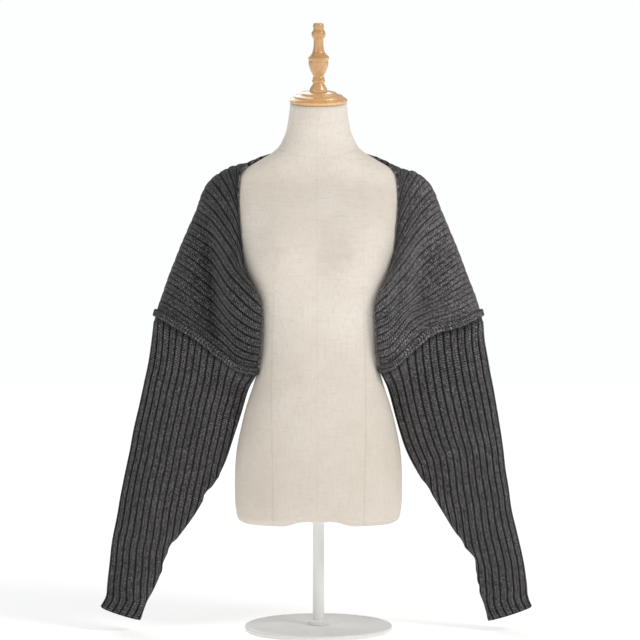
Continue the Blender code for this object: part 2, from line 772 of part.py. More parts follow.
def ring_length(ring):
    return np.linalg.norm(np.diff(np.concatenate([ring, ring[:1]]), axis=0), axis=1).sum()


def ring_normals(rings):
    """Unit normals of a tube of rings, pointing out of it."""
    around = np.roll(rings, -1, axis=1) - np.roll(rings, 1, axis=1)
    down = np.gradient(rings, axis=0)
    normals = np.cross(around, down)
    normals /= np.linalg.norm(normals, axis=2, keepdims=True)
    outwards = rings - rings.mean(axis=1, keepdims=True)
    return normals if (normals * outwards).sum() > 0 else -normals


def sleeve_mesh(controls, seam_up, form):
    """A sleeve as a closed wall: ribs run down its outside and end at the seam on its inner fold."""
    rings, down = spline_rings(controls, SLEEVE_ROWS + 1)
    flat = clear_of_form(rings[1:].reshape(-1, 3), form, 4 * CLOTH_CLEARANCE + WALL)
    rings[1:] = flat.reshape(rings[1:].shape)
    normals = ring_normals(rings)
    normals[0] = seam_up
    points, faces = [], []
    outer_rows, outer_at, inner_rows, inner_at = [], [], [], []
    for ring, normal, depth in zip(rings, normals, down):
        length = ring_length(ring)
        limit = length / 2 - SLEEVE_SEAM_ALLOWANCE
        half_ribs = int((limit - 2) / (SLEEVE_RIB_PITCH / 2))
        plain = depth < SLEEVE_PLAIN_TOP
        for rows, at_rows, step, side in (
            (outer_rows, outer_at, 1, 1), (inner_rows, inner_at, 2, -1),
        ):
            ribs = np.arange(-(half_ribs // step), half_ribs // step + 1) * step
            places = ribs * SLEEVE_RIB_PITCH / 2
            shares = np.concatenate([[0, 0.5 - limit / length], 0.5 + places / length])
            shares = np.append(shares, 0.5 + limit / length)
            relief = np.where((ribs % 2 == 0) & (side > 0) & (not plain), RIB_RELIEF, 0)
            lift = side * (WALL / 2 + np.concatenate([[0, 0], relief, [0]]))
            first = len(points)
            places_on_ring = resampled_ring(ring, normal, shares)
            points += list(places_on_ring[0] + places_on_ring[1] * lift[:, None])
            rows.append([*range(first, len(points)), first])
            ends = (-2 * SLEEVE_SEAM_AT, -SLEEVE_SEAM_AT), (SLEEVE_SEAM_AT, 2 * SLEEVE_SEAM_AT)
            at_rows.append(np.concatenate([ends[0], places, ends[1]]))
        if len(outer_rows) in (1, len(rings)):
            faces += zip_rows(outer_rows[-1], outer_at[-1], inner_rows[-1], inner_at[-1])
    for rows, at in ((outer_rows, outer_at), (inner_rows, inner_at)):
        for number in range(len(rows) - 1):
            faces += zip_rows(rows[number], at[number], rows[number + 1], at[number + 1])
    return np.array(points), faces


def resampled_ring(ring, normal, shares):
    """Points of a ring at shares of its length, and the ring's normals there."""
    even = np.linspace(0, 1, len(ring) + 1)
    closed = np.concatenate([normal, normal[:1]])
    found = np.stack([np.interp(shares, even, closed[:, i]) for i in range(3)], axis=1)
    return ring_at(ring, shares), unit(found)


def swept_solid(name, centres, across, up, rise, profile, finish):
    """A closed ring swept along centres. The profile's part over the wall is scaled by rise."""
    points = []
    for centre, side, normal, share in zip(centres, across, up, rise):
        for reach, height in profile:
            over = max(height - WALL / 2, 0) * share
            points.append(centre + side * reach + normal * (min(height, WALL / 2) + over))
    count, corners = len(centres), len(profile)
    faces = []
    for section in range(count):
        after = (section + 1) % count
        for corner in range(corners):
            other = (corner + 1) % corners
            low, high = section * corners, after * corners
            faces.append((low + corner, low + other, high + other, high + corner))
    return add_solid(name, points, faces, finish)


def unit(vectors):
    return vectors / np.linalg.norm(vectors, axis=-1, keepdims=True)


def seam_frame(grid, normals, side):
    """The panel's last column on one side as a loop, with the directions across the seam and up."""
    last = -1 if side > 0 else 0
    loop = grid[last, :-1]
    up = normals[last, :-1]
    along = unit(np.roll(loop, -1, axis=0) - np.roll(loop, 1, axis=0))
    across = unit(np.cross(along, up))
    if (across * (loop - grid[last - side, :-1])).sum() < 0:
        across = -across
    return loop, across, unit(np.cross(across, along) * np.sign((np.cross(across, along) * up).sum()))


def seam_rise(middle, form):
    """How much of its height the ridge has room for, between 0 and 1, at each place."""
    tallest = max(height for _, height in SEAM_PROFILE) - WALL / 2
    heights = np.array([nearest_on_form(point, form)[2] for point in middle])
    return np.clip((heights - WALL / 2 - 2 * CLOTH_CLEARANCE) / tallest, 0.2, 1)


def build_shrug(form, finish):
    grid, ribs, normals, points, faces = panel_mesh(form)
    add_solid("body_panel", points, faces, finish)
    for name, side, rows in (("left", -1, SLEEVE_LEFT), ("right", 1, SLEEVE_RIGHT)):
        loop, across, up = seam_frame(grid, normals, side)
        middle = loop + across * (SEAM_HALF_WIDTH + GAP)
        rise = seam_rise(middle, form)
        swept_solid("seam_" + name, middle, across, up, rise, SEAM_PROFILE, finish)
        start = loop + across * (2 * SEAM_HALF_WIDTH + GAP + SLEEVE_GAP)
        outlines = [(side * row[0], row[1], side * row[2], *row[3:]) for row in rows]
        sleeve = sleeve_mesh(sleeve_controls(outlines, start), carried(up, start), form)
        add_solid("sleeve_" + name, *sleeve, finish)


def main():
    clear_scene()
    knit = material("knit", KNIT_GREY, 0.95)
    linen = material("linen", LINEN, 0.85)
    wood = material("wood", BEECH, 0.35)
    steel = material("white_steel", WHITE_STEEL, 0.4)
    build_stand(steel)
    form = build_form(linen, wood)
    build_shrug(form, knit)


main()
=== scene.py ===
"""Looks of the cropped rib-knit shrug on its limbless dress form.

Lengths are millimetres until the meshes are made; +Z is up and -Y is the front.
The cloth repeats the solids' own sections and rib paths, with finer ribs, rolled edges and folds.
"""

import math

import bmesh
import bpy
import numpy as np
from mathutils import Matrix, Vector, noise
from mathutils.bvhtree import BVHTree


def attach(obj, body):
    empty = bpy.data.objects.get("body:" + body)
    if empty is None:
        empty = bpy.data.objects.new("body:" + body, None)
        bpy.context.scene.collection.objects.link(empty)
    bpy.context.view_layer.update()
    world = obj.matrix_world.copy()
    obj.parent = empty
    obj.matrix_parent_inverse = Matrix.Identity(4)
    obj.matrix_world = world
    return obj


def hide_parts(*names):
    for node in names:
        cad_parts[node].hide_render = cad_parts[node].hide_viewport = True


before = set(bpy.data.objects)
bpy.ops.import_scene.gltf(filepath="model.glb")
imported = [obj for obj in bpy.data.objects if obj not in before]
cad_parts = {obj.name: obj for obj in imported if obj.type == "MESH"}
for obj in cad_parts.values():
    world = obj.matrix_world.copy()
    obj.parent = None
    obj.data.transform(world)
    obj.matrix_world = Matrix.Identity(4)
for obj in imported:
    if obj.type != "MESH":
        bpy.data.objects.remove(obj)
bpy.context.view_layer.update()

MM = 0.001

# Camera: level, in front, with the photograph's scale of 1.9 mm to a pixel
CAMERA_TARGET = (0.00285, 0.0, 0.588)
CAMERA_DISTANCE = 3.6
CAMERA_LENS = 106.6
CAMERA_SENSOR = 36.0

# Clearances
GAP = 0.3
CLOTH_CLEARANCE = 1.0
SLEEVE_GAP = 0.8
PANEL_CLEARANCE = 0.7
RIDGE_CLEARANCE = 0.3

# In what follows a pair of numbers is mostly a fade: nothing at the first number, and in full at a
# length of the second from it, which may be below zero.

# Dress form. The coarse one is the solid's, on which the cloth is laid; the fine one is seen.
# Under its bottom ring the form is drawn in to shares of its size.
FORM_BOTTOM = 201.0
FORM_SQUARENESS = 2.25
COARSE_SIDES = 32
COARSE_SHARES = (0.2, 0.4, 0.6, 0.8)
COARSE_STEP = 45.0
FINE_SIDES = 144
FINE_SHARES = (0.05, 0.2, 0.4, 0.6, 0.8, 0.93, 0.985)
FINE_STEP = 7.0
UNDERSIDE_RAISED = 3.0
CROTCH_ARCH_HEIGHT = 9.0
CROTCH_ARCH_X = (25.0, 43.0)
CROTCH_ARCH_TOP = 240.0
NECK_TILT = math.radians(15.0)
NECK_TILT_FROM = 925.0
NECK_TOP = 1000.0
NECK_CENTRE_Y = -5.0
BUST_X = 80.0
BUST_Z = 697.0
BUST_SIZE = 20.0
BUST_SPREAD_X = 40.0
BUST_SPREAD_UP = 52.0
BUST_SPREAD_DOWN = 34.0

FORM_COLUMNS = ("height", "half_width", "front", "back")
FORM_SECTIONS = (
    (201, 140, 86, 96),
    (206, 150, 94, 105),
    (224, 156, 99, 112),
    (276, 159, 102, 117),
    (337, 156, 101, 114),
    (380, 148, 98, 104),
    (421, 138, 95, 91),
    (485, 118, 89, 76),
    (522, 113, 87, 71),
    (560, 116, 88, 72),
    (626, 132, 93, 79),
    (690, 150, 96, 86),
    (740, 158, 93, 90),
    (790, 163, 83, 90),
    (828, 166, 67, 83),
    (848, 164, 57, 75),
    (861, 158, 53, 67),
    (874, 142, 51, 62),
    (887, 119, 50, 59),
    (897, 102, 49, 57),
    (907, 86, 49, 55),
    (916, 76, 50, 53),
    (930, 68, 51, 51),
    (945, 62, 53, 50),
    (970, 57, 56, 48),
    (1000, 53.5, 58, 48),
)

CAP_PROFILE = (
    (52.0, 0.3), (54.5, 3.0), (54.5, 6.5), (50.0, 9.5), (47.5, 10.5), (45.5, 13.5), (38.0, 15.5),
    (36.0, 16.5), (33.0, 19.5), (22.0, 21.5),
)
FINIAL_PROFILE = (
    (17.0, 21.8), (16.4, 26.5), (12.2, 34.0), (10.6, 36.5), (12.2, 41.0), (12.2, 43.5), (11.0, 45.0),
    (12.2, 46.5), (9.8, 50.0), (15.0, 61.0), (18.4, 71.5), (18.8, 78.0), (18.2, 80.5), (20.6, 86.5),
    (15.6, 91.0), (11.0, 97.5), (9.2, 108.0), (9.2, 120.0), (12.4, 125.5), (13.3, 130.5), (12.2, 135.0),
    (9.7, 138.0), (10.2, 145.0), (8.6, 150.0),
)
TURNED_SIDES = 72
TURNED_STEPS = 4
TURNED_ROUNDING = 0.35
TURNED_SHARP = math.radians(38.0)

# Knit: the wall under the ribs, drawn thin at the crotches under the arms
WALL = 2.2
CROTCH_WALL = 1.0
CROTCH_REACH = 24.0

# Body panel. A rib runs from the opening's edge over the crest, the line that is highest or
# outermost from the front, and down the back to the hem. Ribs are counted from the centre back.
# Past SPLIT_RIB the edge and the hem are sewn together, and a rib is a loop round the arm.
LAST_RIB = 25
SPLIT_RIB = 17
FOLDING_RIBS = 4
SHOULDER_RIB = 6
PANEL_ROWS = 22
PATH_SAMPLES = 60
BEND_WEIGHT = 50.0
CREST_ROUNDING = 46.0
FOLD_ROUNDING = 40.0
EDGE_ROUNDING = 75.0
LONGEST_ROUNDING = 0.9
SETTLING_ROUNDS = 3
SETTLING_REACH = 16.0
SETTLING_SHARE = 0.6
RELAXED_KEPT = 0.4
RELAXED_KEPT_AT_RIMS = 0.6
NORMAL_ROUNDS = 4
FRONT_OF_ALL = -400.0
LEAST_FACING = 0.4

# Under the arm the hem lies between the form and the back of the loops, which keep this clear of it
UNDERARM_ROOM = 7.0
UNDERARM_RIBS = (16.0, 1.5)
UNDERARM_Y = (-62.0, 24.0)
# The way the wall faces at the two points under the arms where the opening's edge closes
CROTCH_FACING = (-0.5, 0.4, -0.77)

FRONT_COLUMNS = (
    "rib", "crest_x", "crest_y", "crest_z", "leave_deg",
    "edge_x", "edge_y", "edge_z", "arrive_deg", "depth",
)
FRONT_RIBS = (
    (0, 0, 60, 905, 90, 0, 60, 905, 90, 0),
    (3, 56, 46, 905, 90, 56, 46, 905, 90, 0),
    (6, 107, 8, 897, 92, 107, 8, 897, 92, 0),
    (8, 142, 4, 885, 94, 146, -34, 856, 88, 8),
    (10, 172, 0, 874, 68, 148.5, -48, 803, 80, 20),
    (12, 204, 0, 853, 46, 144.5, -58, 742, 78, 28),
    (13, 216.5, 0, 836, 38, 143, -62, 714, 72, 30),
    (15, 232, 0, 797, 31, 128, -72, 661, 62, 32),
    (17, 250, 0, 754, 30, 106.5, -62, 610, 46, 32),
    (19, 264.5, 0, 719, 28, 108.5, -56, 581, 26, 33),
    (22, 287, 0, 661, 24, 112, -42, 537, 14, 33),
    (25, 306, 0, 607, 20, 118.5, -28, 497, 6, 31),
)

BACK_COLUMNS = ("rib", "hem_x", "hem_y", "hem_z", "leave_deg", "arrive_deg", "depth", "round")
BACK_RIBS = (
    (0, 0, 82, 459, 90, 90, 14, 75),
    (3, 50, 78, 463, 90, 90, 22, 75),
    (6, 92, 58, 484, 90, 92, 44, 80),
    (8, 110, 42, 514, 88, 92, 56, 90),
    (10, 120, 28, 548, 76, 84, 64, 110),
    (12, 127, 12, 590, 58, 66, 70, 140),
    (13, 129, -2, 608, 50, 60, 73, 155),
    (14, 130, -17, 619, 44, 35, 76, 170),
    (15, 126, -28.3, 624.6, 40, 30, 78, 180),
    (16, 118, -44, 623.1, 37, 25, 66, 190),
    (17, 106.5, -62, 610, 34, 14, 66, 190),
    (19, 108.5, -56, 581, 30, 22, 68, 170),
    (22, 112, -42, 537, 25, 16, 56, 120),
    (25, 118.5, -28, 497, 20, 6, 46, 70),
)

# The soft trough down the front of each arm, where the knit sinks between arm and armpit
TROUGH_X = 203.0
TROUGH_WIDTH = 20.0
TROUGH_DEPTH = 9.0
TROUGH_TOP = (770.0, -90.0)
TROUGH_BOTTOM = (480.0, 90.0)
TROUGH_FRONT = (0.0, -30.0)

# Sleeves. SLEEVE_SEAM_AT is past all of a ring's ribs, for the corners of the underarm seam.
SLEEVE_ROWS = 14
SLEEVE_RIB_PITCH = 12.6
SLEEVE_SEAM_AT = 900.0
RING_SAMPLES = 96
# Rows of a sleeve: its outer x and z, its inner x and z, its half depth and its middle y
SLEEVE_LEFT = (
    (316.5, 531, 137, 445, 32, -2),
    (327, 474, 148, 408, 31, -4),
    (337, 428.5, 161.5, 364, 30, -6),
    (349.5, 370.5, 182.5, 306, 28, -8),
    (360, 317, 212, 257.5, 27, -10),
    (370, 263, 244, 205, 25, -12),
    (380.5, 210, 271.5, 169, 23, -13),
    (388.5, 160.5, 294.5, 130, 21, -14),
    (394.5, 109, 305, 94, 19, -14),
    (399, 71, 321, 60, 18, -13),
    (408.5, 43.5, 339, 21.5, 18, -12),
)
SLEEVE_RIGHT = (
    (315.5, 531, 133.5, 448, 32, -2),
    (326, 474, 144, 410, 31, -4),
    (334.5, 428.5, 157.5, 366, 30, -6),
    (344, 367.5, 182.5, 307, 28, -8),
    (351, 312.5, 215, 257.5, 27, -10),
    (358.5, 259.5, 245, 210, 25, -12),
    (367.5, 208, 269.5, 169, 23, -13),
    (379, 160.5, 297.5, 136, 21, -14),
    (388, 113, 301, 96, 19, -14),
    (394.5, 75, 309, 60, 18, -13),
    (399.5, 44.5, 323, 20, 18, -12),
)

# Linked seam: a rolled ridge between panel and sleeve, as wide and high as on the solid
SEAM_HALF_WIDTH = 5.5
SEAM_HEIGHT = 6.2
SEAM_LEAST_RISE = 0.2
# Its section, as places across it (towards the cuff) and up from the wall's middle
RIDGE_PROFILE = (
    (-5.5, -1.1), (-5.5, 0.6), (-5.5, 2.0), (-6.2, 2.7), (-6.7, 3.8), (-6.2, 5.0), (-4.9, 5.7),
    (-3.0, 6.1), (-1.0, 5.8), (1.0, 5.8), (3.0, 6.1), (4.9, 5.7), (6.2, 5.0), (6.7, 3.8),
    (6.2, 2.7), (5.5, 2.0), (5.5, 0.6), (5.5, -1.1),
)
RIDGE_CORNERS_PER_RIB = 6.0
RIDGE_STEP = 1.25
# Curls of cast-off loops along it: each wave's share, its turns to a curl and its lean across
CURL_PITCH = 4.7
CURL_HEIGHT = 1.6
CURL_WAVES = ((0.6, 1.0, 0.5), (0.4, 0.43, 0.3))
CURL_SWELL = 0.05
# Loose loops: each noise's share and size, and where the ridge is as high as its curls are stated
LOOSE_LOOPS = ((1.0, 3.4), (0.6, 1.7))
LOOSE_HEIGHT = 1.3
FULL_RISE = 5.2
# The ridge is pressed down where it passes the outermost place of the arm
PRESSED_HEIGHT = -0.8
PRESSED_REACH = 6.0

# Finer cloth: where the columns of one rib lie, and the rows close to the panel's two edges
RIB_PHASES = (0.0, 0.05, 0.11, 0.2, 0.33, 0.44, 0.5, 0.56, 0.67, 0.8, 0.89, 0.95)
MIDDLE_PHASE = 6
EDGE_ROWS = (0.0, 0.04, 0.08, 0.13, 0.2, 0.3, 0.45, 0.7)
ROW_STEP = 0.25
VALLEY_DEPTH = 0.9
RIB_HEIGHT = 2.4
RIB_FLATNESS = 3.0
GROOVE_SHARE = 0.27
GROOVE_WIDTH = 0.13
ROLL_HEIGHT = 2.4
ROLL_AT = 3.2
ROLL_WIDTH = 2.3
STITCH_LENGTH = 3.9

# Where the panel's ribs stand less high: by rib from the middle, by row and by how far the edge is
PANEL_PLAIN_RIBS = (24.2, 0.6)
CREASE_RIBS = (3.2, -2.0)
CREASE_ROWS = (0.6, 0.12)
CREASE_END_RIBS = (1.2, -1.0)
CREASE_END_ROWS = 0.02
EDGE_PLAIN = 0.8
EDGE_RISE = 7.0
EDGE_RISE_SHORTER = 3.6
EDGE_RISE_RIBS = (8, 4)
NO_EDGE = 1000.0
STRETCHED_FLAT = 0.72
STRETCHED_FACING = 1.25
STRETCHED_RIBS = (7, 3)
SHOULDER_FLAT = 0.85
SHOULDER_FACING = 1.6
SHOULDER_RIBS = (11, -3)
MEAN_STRENGTH = 0.95
# Ribs that bulge at the two lower folds of the front
BULGE = 0.85
BULGE_X = (150, -28)
BULGE_Y = (10, -20)
BULGE_Z = (650, -40)
BULGE_RIBS = (8, 3)
# The rolled edge is scalloped by the ribs, and the soft folds end before it
SCALLOP = 0.75
SCALLOP_RIBS = (9, 3)
EDGE_STIFF = 30.0
SEAM_STIFF_RIBS = (LAST_RIB, -2)
# Soft noise: its height, its size and where it starts
STRENGTH_NOISE = (0.2, 45.0, 3.7)
PANEL_NOISE = (1.3, 60.0, 21.3)
SLEEVE_NOISE = (1.2, 55.0, 5.3)

# Sleeves: fine rows, with a few more close to each end, and places measured from either end
SLEEVE_FINE_ROWS = 116
SLEEVE_TOP_ROWS = (0.02, 0.05)
SLEEVE_CUFF_ROWS = (0.03, 0.07)
SLEEVE_EVEN = 22.0
SLEEVE_STIFF_TOP = 25.0
SLEEVE_STIFF_CUFF = 20.0
SLEEVE_PLAIN_TOP = (3.0, 6.0)
SLEEVE_PLAIN_CUFF = (0.4, 2.5)
CUFF_FLARE = 1.8
CUFF_FLARE_AT = (16.0, -16.0)
CUFF_PINCH = 1.5
CUFF_PINCH_AT = 30.0
CUFF_PINCH_WIDTH = 12.0
OUTERMOST_REACH = 3.0
# The underarm seam: half its width, its bed and its rims over the wall, and the nearest rib to it
UNDERARM_SEAM = 4.0
UNDERARM_BED = -0.6
UNDERARM_RIM = 0.2
UNDERARM_RIB_GAP = 0.8
# Down to here a sleeve keeps all its ribs, and they draw together; below, they run out at the seam
STRAIGHT_LEFT = 105.0
STRAIGHT_RIGHT = 200.0

# Soft folds: how soon they show where the cloth turns to their side, and how they end
FOLD_FACING = 2.5
FOLD_ENDS = (1.35, 1.6)
# Their lines in the front view (x, z to x, z), width, height (below zero a trough), and side
# (-1 front, 1 back, 0 all)
BODY_FOLDS = (
    (-214, 775, -199, 540, 17, -17.0, -1),
    (-212, 720, -201, 560, 6, -5.0, -1),
    (-172, 700, -158, 590, 12, 4.0, -1),
    (208, 740, 182, 560, 18, -15.0, -1),
    (152, 640, 148, 560, 5, -4.0, -1),
    (150, 650, 143, 575, 8, -5.0, -1),
    (172, 715, 166, 590, 12, 4.0, -1),
    (-60, 840, -95, 620, 22, 4.0, 1),
    (55, 850, 90, 600, 24, 4.0, 1),
    (-30, 820, -40, 560, 16, -3.0, 1),
    (28, 800, 36, 540, 16, -3.0, 1),
    (-190, 760, -170, 640, 20, -4.0, 1),
    (190, 750, 168, 640, 20, -4.0, 1),
)
SLEEVE_FOLDS_LEFT = (
    (-150, 330, -255, 268, 11, -4.0, -1),
    (-215, 180, -310, 150, 9, -3.5, -1),
    (-200, 420, -262, 330, 16, 2.5, -1),
    (-290, 120, -380, 96, 10, 2.2, -1),
    (-160, 330, -250, 280, 13, -4.0, 1),
    (-240, 200, -330, 165, 11, -3.0, 1),
    (-200, 262, -214, 248, 14, -4.0, 0),
    (-270, 166, -284, 152, 13, -3.0, 0),
    (-186, 292, -190, 286, 12, 1.5, 0),
    (-298, 122, -304, 112, 12, 1.5, 0),
)
SLEEVE_FOLDS_RIGHT = (
    (180, 300, 270, 275, 11, -4.0, -1),
    (240, 215, 330, 168, 10, -4.0, -1),
    (285, 130, 350, 95, 8, -3.5, -1),
    (262, 175, 340, 140, 9, 2.8, -1),
    (205, 420, 262, 330, 16, 2.5, -1),
    (165, 320, 262, 268, 13, -4.0, 1),
    (250, 190, 345, 150, 11, -3.0, 1),
    (205, 286, 220, 268, 13, -2.5, 0),
    (262, 176, 276, 164, 13, -2.5, 0),
    (292, 128, 300, 112, 11, 2.5, 0),
    (300, 88, 306, 80, 12, -2.0, 0),
)

# Where the photo's two sides hang unlike one another: how far the cloth slides in its own face.
# A spot in the front view is a middle x and half width, and a middle z and half height.
SLIDING_FRONT = (44, -96)
RIGHT_LIFTS = ((25.0, (124, 52)), (9.0, (88, 36)))
RIGHT_LIFT_END = (290, -95)
RIGHT_LIFT_Z = (543, 68)
LEFT_LIFT = 8.0
LEFT_LIFT_INNER = (-150, -30)
LEFT_LIFT_OUTER = (-285, 60)
LEFT_LIFT_Z = (535, 50)
TOP_LIFT_Z = (850, 12)
TOP_LIFTS = ((4.5, (-151, 11)), (-5.0, (167, 9)))
WAIST_SLIDE, WAIST_SPOT = 2.6, (117, 14, 500, 26)
EDGE_SLIDE, EDGE_SPOT = 1.6, (118, 15, 565, 45)
BREAST_SLIDE, BREAST_SPOT = 6.0, (-137, 27, 681, 27)

# The yarn: a charcoal melange spun from nearly black and pale grey fibres
YARN_DARK = (0.030, 0.0285, 0.029)
YARN_MIDDLE = (0.088, 0.084, 0.085)
YARN_PALE = (0.34, 0.327, 0.332)
YARN_SHEEN = (0.80, 0.79, 0.82)
# Flecks: the lowest and highest noise, how much they cover, and their tone
FLECKS = {
    "fibre": (0.50, 0.72, 0.34, YARN_PALE),
    "spark": (0.54, 0.68, 0.3, YARN_PALE),
    "pale stitch": (0.62, 0.95, 0.32, YARN_PALE),
    "dark stitch": (0.36, 0.05, 0.9, YARN_DARK),
}
WALES_PER_RIB = 2.0
# Painted shade between the wales: the stitch legs darken to this share where one wale meets the next
WALE_EDGE = 0.30
# The seam ridge is drawn this much lighter than the rest of the same knit: painted light on the raised
# roll
RIDGE_PAINTED_LIGHT = 1.25
RIDGE_MIDDLE = (len(RIDGE_PROFILE) - 1) / 2 / RIDGE_CORNERS_PER_RIB

# Linen, and its sewn seams in metres: x of the princess seams, z of the collar's, and their threads
LINEN_PALE = (0.885, 0.82, 0.745)
LINEN_WARM = (0.68, 0.60, 0.50)
LINEN_SEAM = (0.45, 0.38, 0.29)
LINEN_THREAD = 0.0013
SEAM_X = 0.0885
MIDDLE_SEAM_X = -0.003
NECK_SEAM_Z = 0.892

BEECH_PALE = (0.84, 0.50, 0.215)
BEECH_WARM = (0.70, 0.38, 0.145)
BEECH_GRAIN = (0.46, 0.22, 0.075)
BEECH_FLECK = (0.30, 0.14, 0.05)
PAINT = (0.86, 0.86, 0.85)
PAINT_SCUFFED = (0.76, 0.76, 0.745)

# Studio: lamps as a name, a place, a side, a power and a tone; all of them point at LAMP_TARGET
LAMPS = (
    ("key", (2.8, -1.9, 2.9), 1.3, 61.0, (1.0, 0.985, 0.97)),
    ("fill", (-2.6, -2.2, 1.5), 1.8, 14.0, (1.0, 0.99, 0.98)),
)
LAMP_TARGET = (0.0, 0.0, 0.6)
BACKDROP = (0.985, 1.0, 0.995)
AMBIENT = 0.45
BACK_LIGHT = 0.65
BACK_LIGHT_SPREAD = math.radians(40.0)
BACK_LIGHT_TURN = (math.radians(-52.0), 0.0, math.radians(18.0))
FLOOR_REACH = 14.0
FLOOR_TONES = (0.90, 0.91, 0.905), (0.93, 0.94, 0.935)
FLOOR_NEAR = 0.44
FLOOR_GLOW = 0.62


def smoothstep(value):
    value = np.clip(value, 0, 1)
    return value * value * (3 - 2 * value)


def ease(value, start, over):
    """0 at start and 1 at a length of over from it, which may be below zero."""
    return smoothstep((value - start) / over)


def quarter(value):
    """The height of a quarter circle: 0 at 0, upright there, and level from 1 on."""
    return np.sqrt(1 - (1 - np.clip(value, 0, 1)) ** 2)


def hill(value, middle, width):
    return np.exp(-(((value - middle) / width) ** 2))


def spot(points, x, width, z, height, mirrored=False):
    """A hill in the front view, or one on each side."""
    aside = np.abs(points[..., 0]) if mirrored else points[..., 0]
    return hill(aside, x, width) * hill(points[..., 2], z, height)


def unit(vectors):
    return vectors / np.linalg.norm(vectors, axis=-1, keepdims=True)


def cubic(start, end, out, into, s):
    """A curve from start to end, leaving along out and arriving along into."""
    return (
        start * (2 * s**3 - 3 * s**2 + 1)
        + end * (3 * s**2 - 2 * s**3)
        + out * (s**3 - 2 * s**2 + s)
        + into * (s**3 - s**2)
    )


def smooth_table(columns, rows, key, at):
    """Each column of a table at the places given, as a dict, by monotone cubics through its rows."""
    table = np.array(rows, float)
    at = np.asarray(at, float)
    x = table[:, columns.index(key)]
    step = np.diff(x)
    place = np.clip(np.searchsorted(x, at, side="right") - 1, 0, len(step) - 1)
    share = (np.clip(at, x[0], x[-1]) - x[place]) / step[place]
    found = {}
    for name, y in zip(columns, table.T):
        slope = np.diff(y) / step
        turn = np.concatenate([[slope[0]], (slope[1:] + slope[:-1]) / 2, [slope[-1]]])
        turn[1:-1][slope[1:] * slope[:-1] <= 0] = 0
        limit = 3 * np.minimum(np.abs(slope[1:]), np.abs(slope[:-1]))
        turn[1:-1] = np.clip(turn[1:-1], -limit, limit)
        out, into = turn[place] * step[place], turn[place + 1] * step[place]
        found[name] = cubic(y[place], y[place + 1], out, into, share)
    return found


def closed(ring):
    return np.concatenate([ring, ring[:1]])


def lengths_along(points):
    """How far along a polyline each of its points lies."""
    return np.concatenate([[0], np.cumsum(np.linalg.norm(np.diff(points, axis=0), axis=1))])


def read_off(wanted, along, values):
    """The values, given at places along a line, at the places wanted."""
    return np.stack([np.interp(wanted, along, column) for column in values.T], axis=1)


def resample_bends(points, count):
    """The polyline at count points, which lie closer together where it bends."""
    steps = np.diff(points, axis=0)
    lengths = np.linalg.norm(steps, axis=1)
    heading = steps / np.maximum(lengths, 1e-9)[:, None]
    bends = np.arccos(np.clip((heading[1:] * heading[:-1]).sum(axis=1), -1, 1))
    share = np.concatenate([[0], bends]) / 2 + np.concatenate([bends, [0]]) / 2
    along = np.concatenate([[0], np.cumsum(lengths + BEND_WEIGHT * share)])
    return read_off(np.linspace(0, along[-1], count), along, points)


def zip_rows(first, first_at, second, second_at):
    """Triangles between two rows of point numbers, whose places along the row are given."""
    faces = []
    i = j = 0
    while i < len(first) - 1 or j < len(second) - 1:
        take_first = j == len(second) - 1 or (
            i < len(first) - 1 and first_at[i + 1] <= second_at[j + 1]
        )
        if take_first:
            corners = (first[i], first[i + 1], second[j])
            i += 1
        else:
            corners = (first[i], second[j + 1], second[j])
            j += 1
        if len(set(corners)) == 3:
            faces.append(corners)
    return faces


def tube(rings):
    """Points and faces of a tube of rings, closed by a flat face at each end."""
    sides = len(rings[0])
    points = np.concatenate(rings)
    faces = []
    for low in range(0, len(points) - sides, sides):
        for side in range(sides):
            after = (side + 1) % sides
            faces.append((low + side, low + after, low + sides + after, low + sides + side))
    faces.append(tuple(reversed(range(sides))))
    faces.append(tuple(range(len(points) - sides, len(points))))
    return points, faces


def tree_of(points, faces):
    return BVHTree.FromPolygons([Vector(point) for point in points], faces)


def bust(x, z):
    """How far the front is filled out at x and z."""
    drop = z - BUST_Z
    spread = np.where(drop > 0, BUST_SPREAD_UP, BUST_SPREAD_DOWN)
    beside = (np.abs(x) - BUST_X) / BUST_SPREAD_X
    return BUST_SIZE * np.exp(-(beside**2) / 2 - (drop / spread) ** 2 / 2)


def form_ring(height, sides, share=1.0):
    """One section of the form, or of its underside, where it is drawn in to a share of its size."""
    size = smooth_table(FORM_COLUMNS, FORM_SECTIONS, "height", height)
    turn = np.linspace(0, 2 * math.pi, sides, endpoint=False)
    power = 2 / FORM_SQUARENESS
    cosine, sine = np.cos(turn), np.sin(turn)
    x = size["half_width"] * np.sign(cosine) * np.abs(cosine) ** power
    depth = np.where(sine < 0, size["front"], size["back"])
    y = depth * np.sign(sine) * np.abs(sine) ** power
    y = y - bust(x, height) * np.where(sine < 0, np.abs(sine) ** power, 0)
    lifted = ease(height, CROTCH_ARCH_TOP, FORM_BOTTOM - CROTCH_ARCH_TOP)
    arch = UNDERSIDE_RAISED + CROTCH_ARCH_HEIGHT * (1 - ease(np.abs(x * share), *CROTCH_ARCH_X))
    tilt = ease(height, NECK_TILT_FROM, NECK_TOP - NECK_TILT_FROM)
    z = height + lifted * arch
    z = z + tilt * math.tan(NECK_TILT) * (y - NECK_CENTRE_Y)
    return np.stack([x * share, y * share, z * np.ones_like(x)], axis=1)


def form_mesh(sides, shares, parts_of):
    """The form; parts_of says in how many parts a distance between two tabled heights is cut."""
    rings = [form_ring(FORM_BOTTOM, sides, share) for share in shares]
    tabled = [row[0] for row in FORM_SECTIONS]
    for low, high in zip(tabled, tabled[1:]):
        parts = parts_of(high - low)
        rings += [form_ring(low + (high - low) * part / parts, sides) for part in range(parts)]
    return tube(rings + [form_ring(tabled[-1], sides)])


def nearest_on_form(point, form):
    """The form's nearest point and its outward normal there, and the point's height over it."""
    place, normal, _, _ = form.find_nearest(Vector(point))
    place, normal = np.array(place), np.array(normal)
    return place, normal, (np.array(point) - place) @ normal


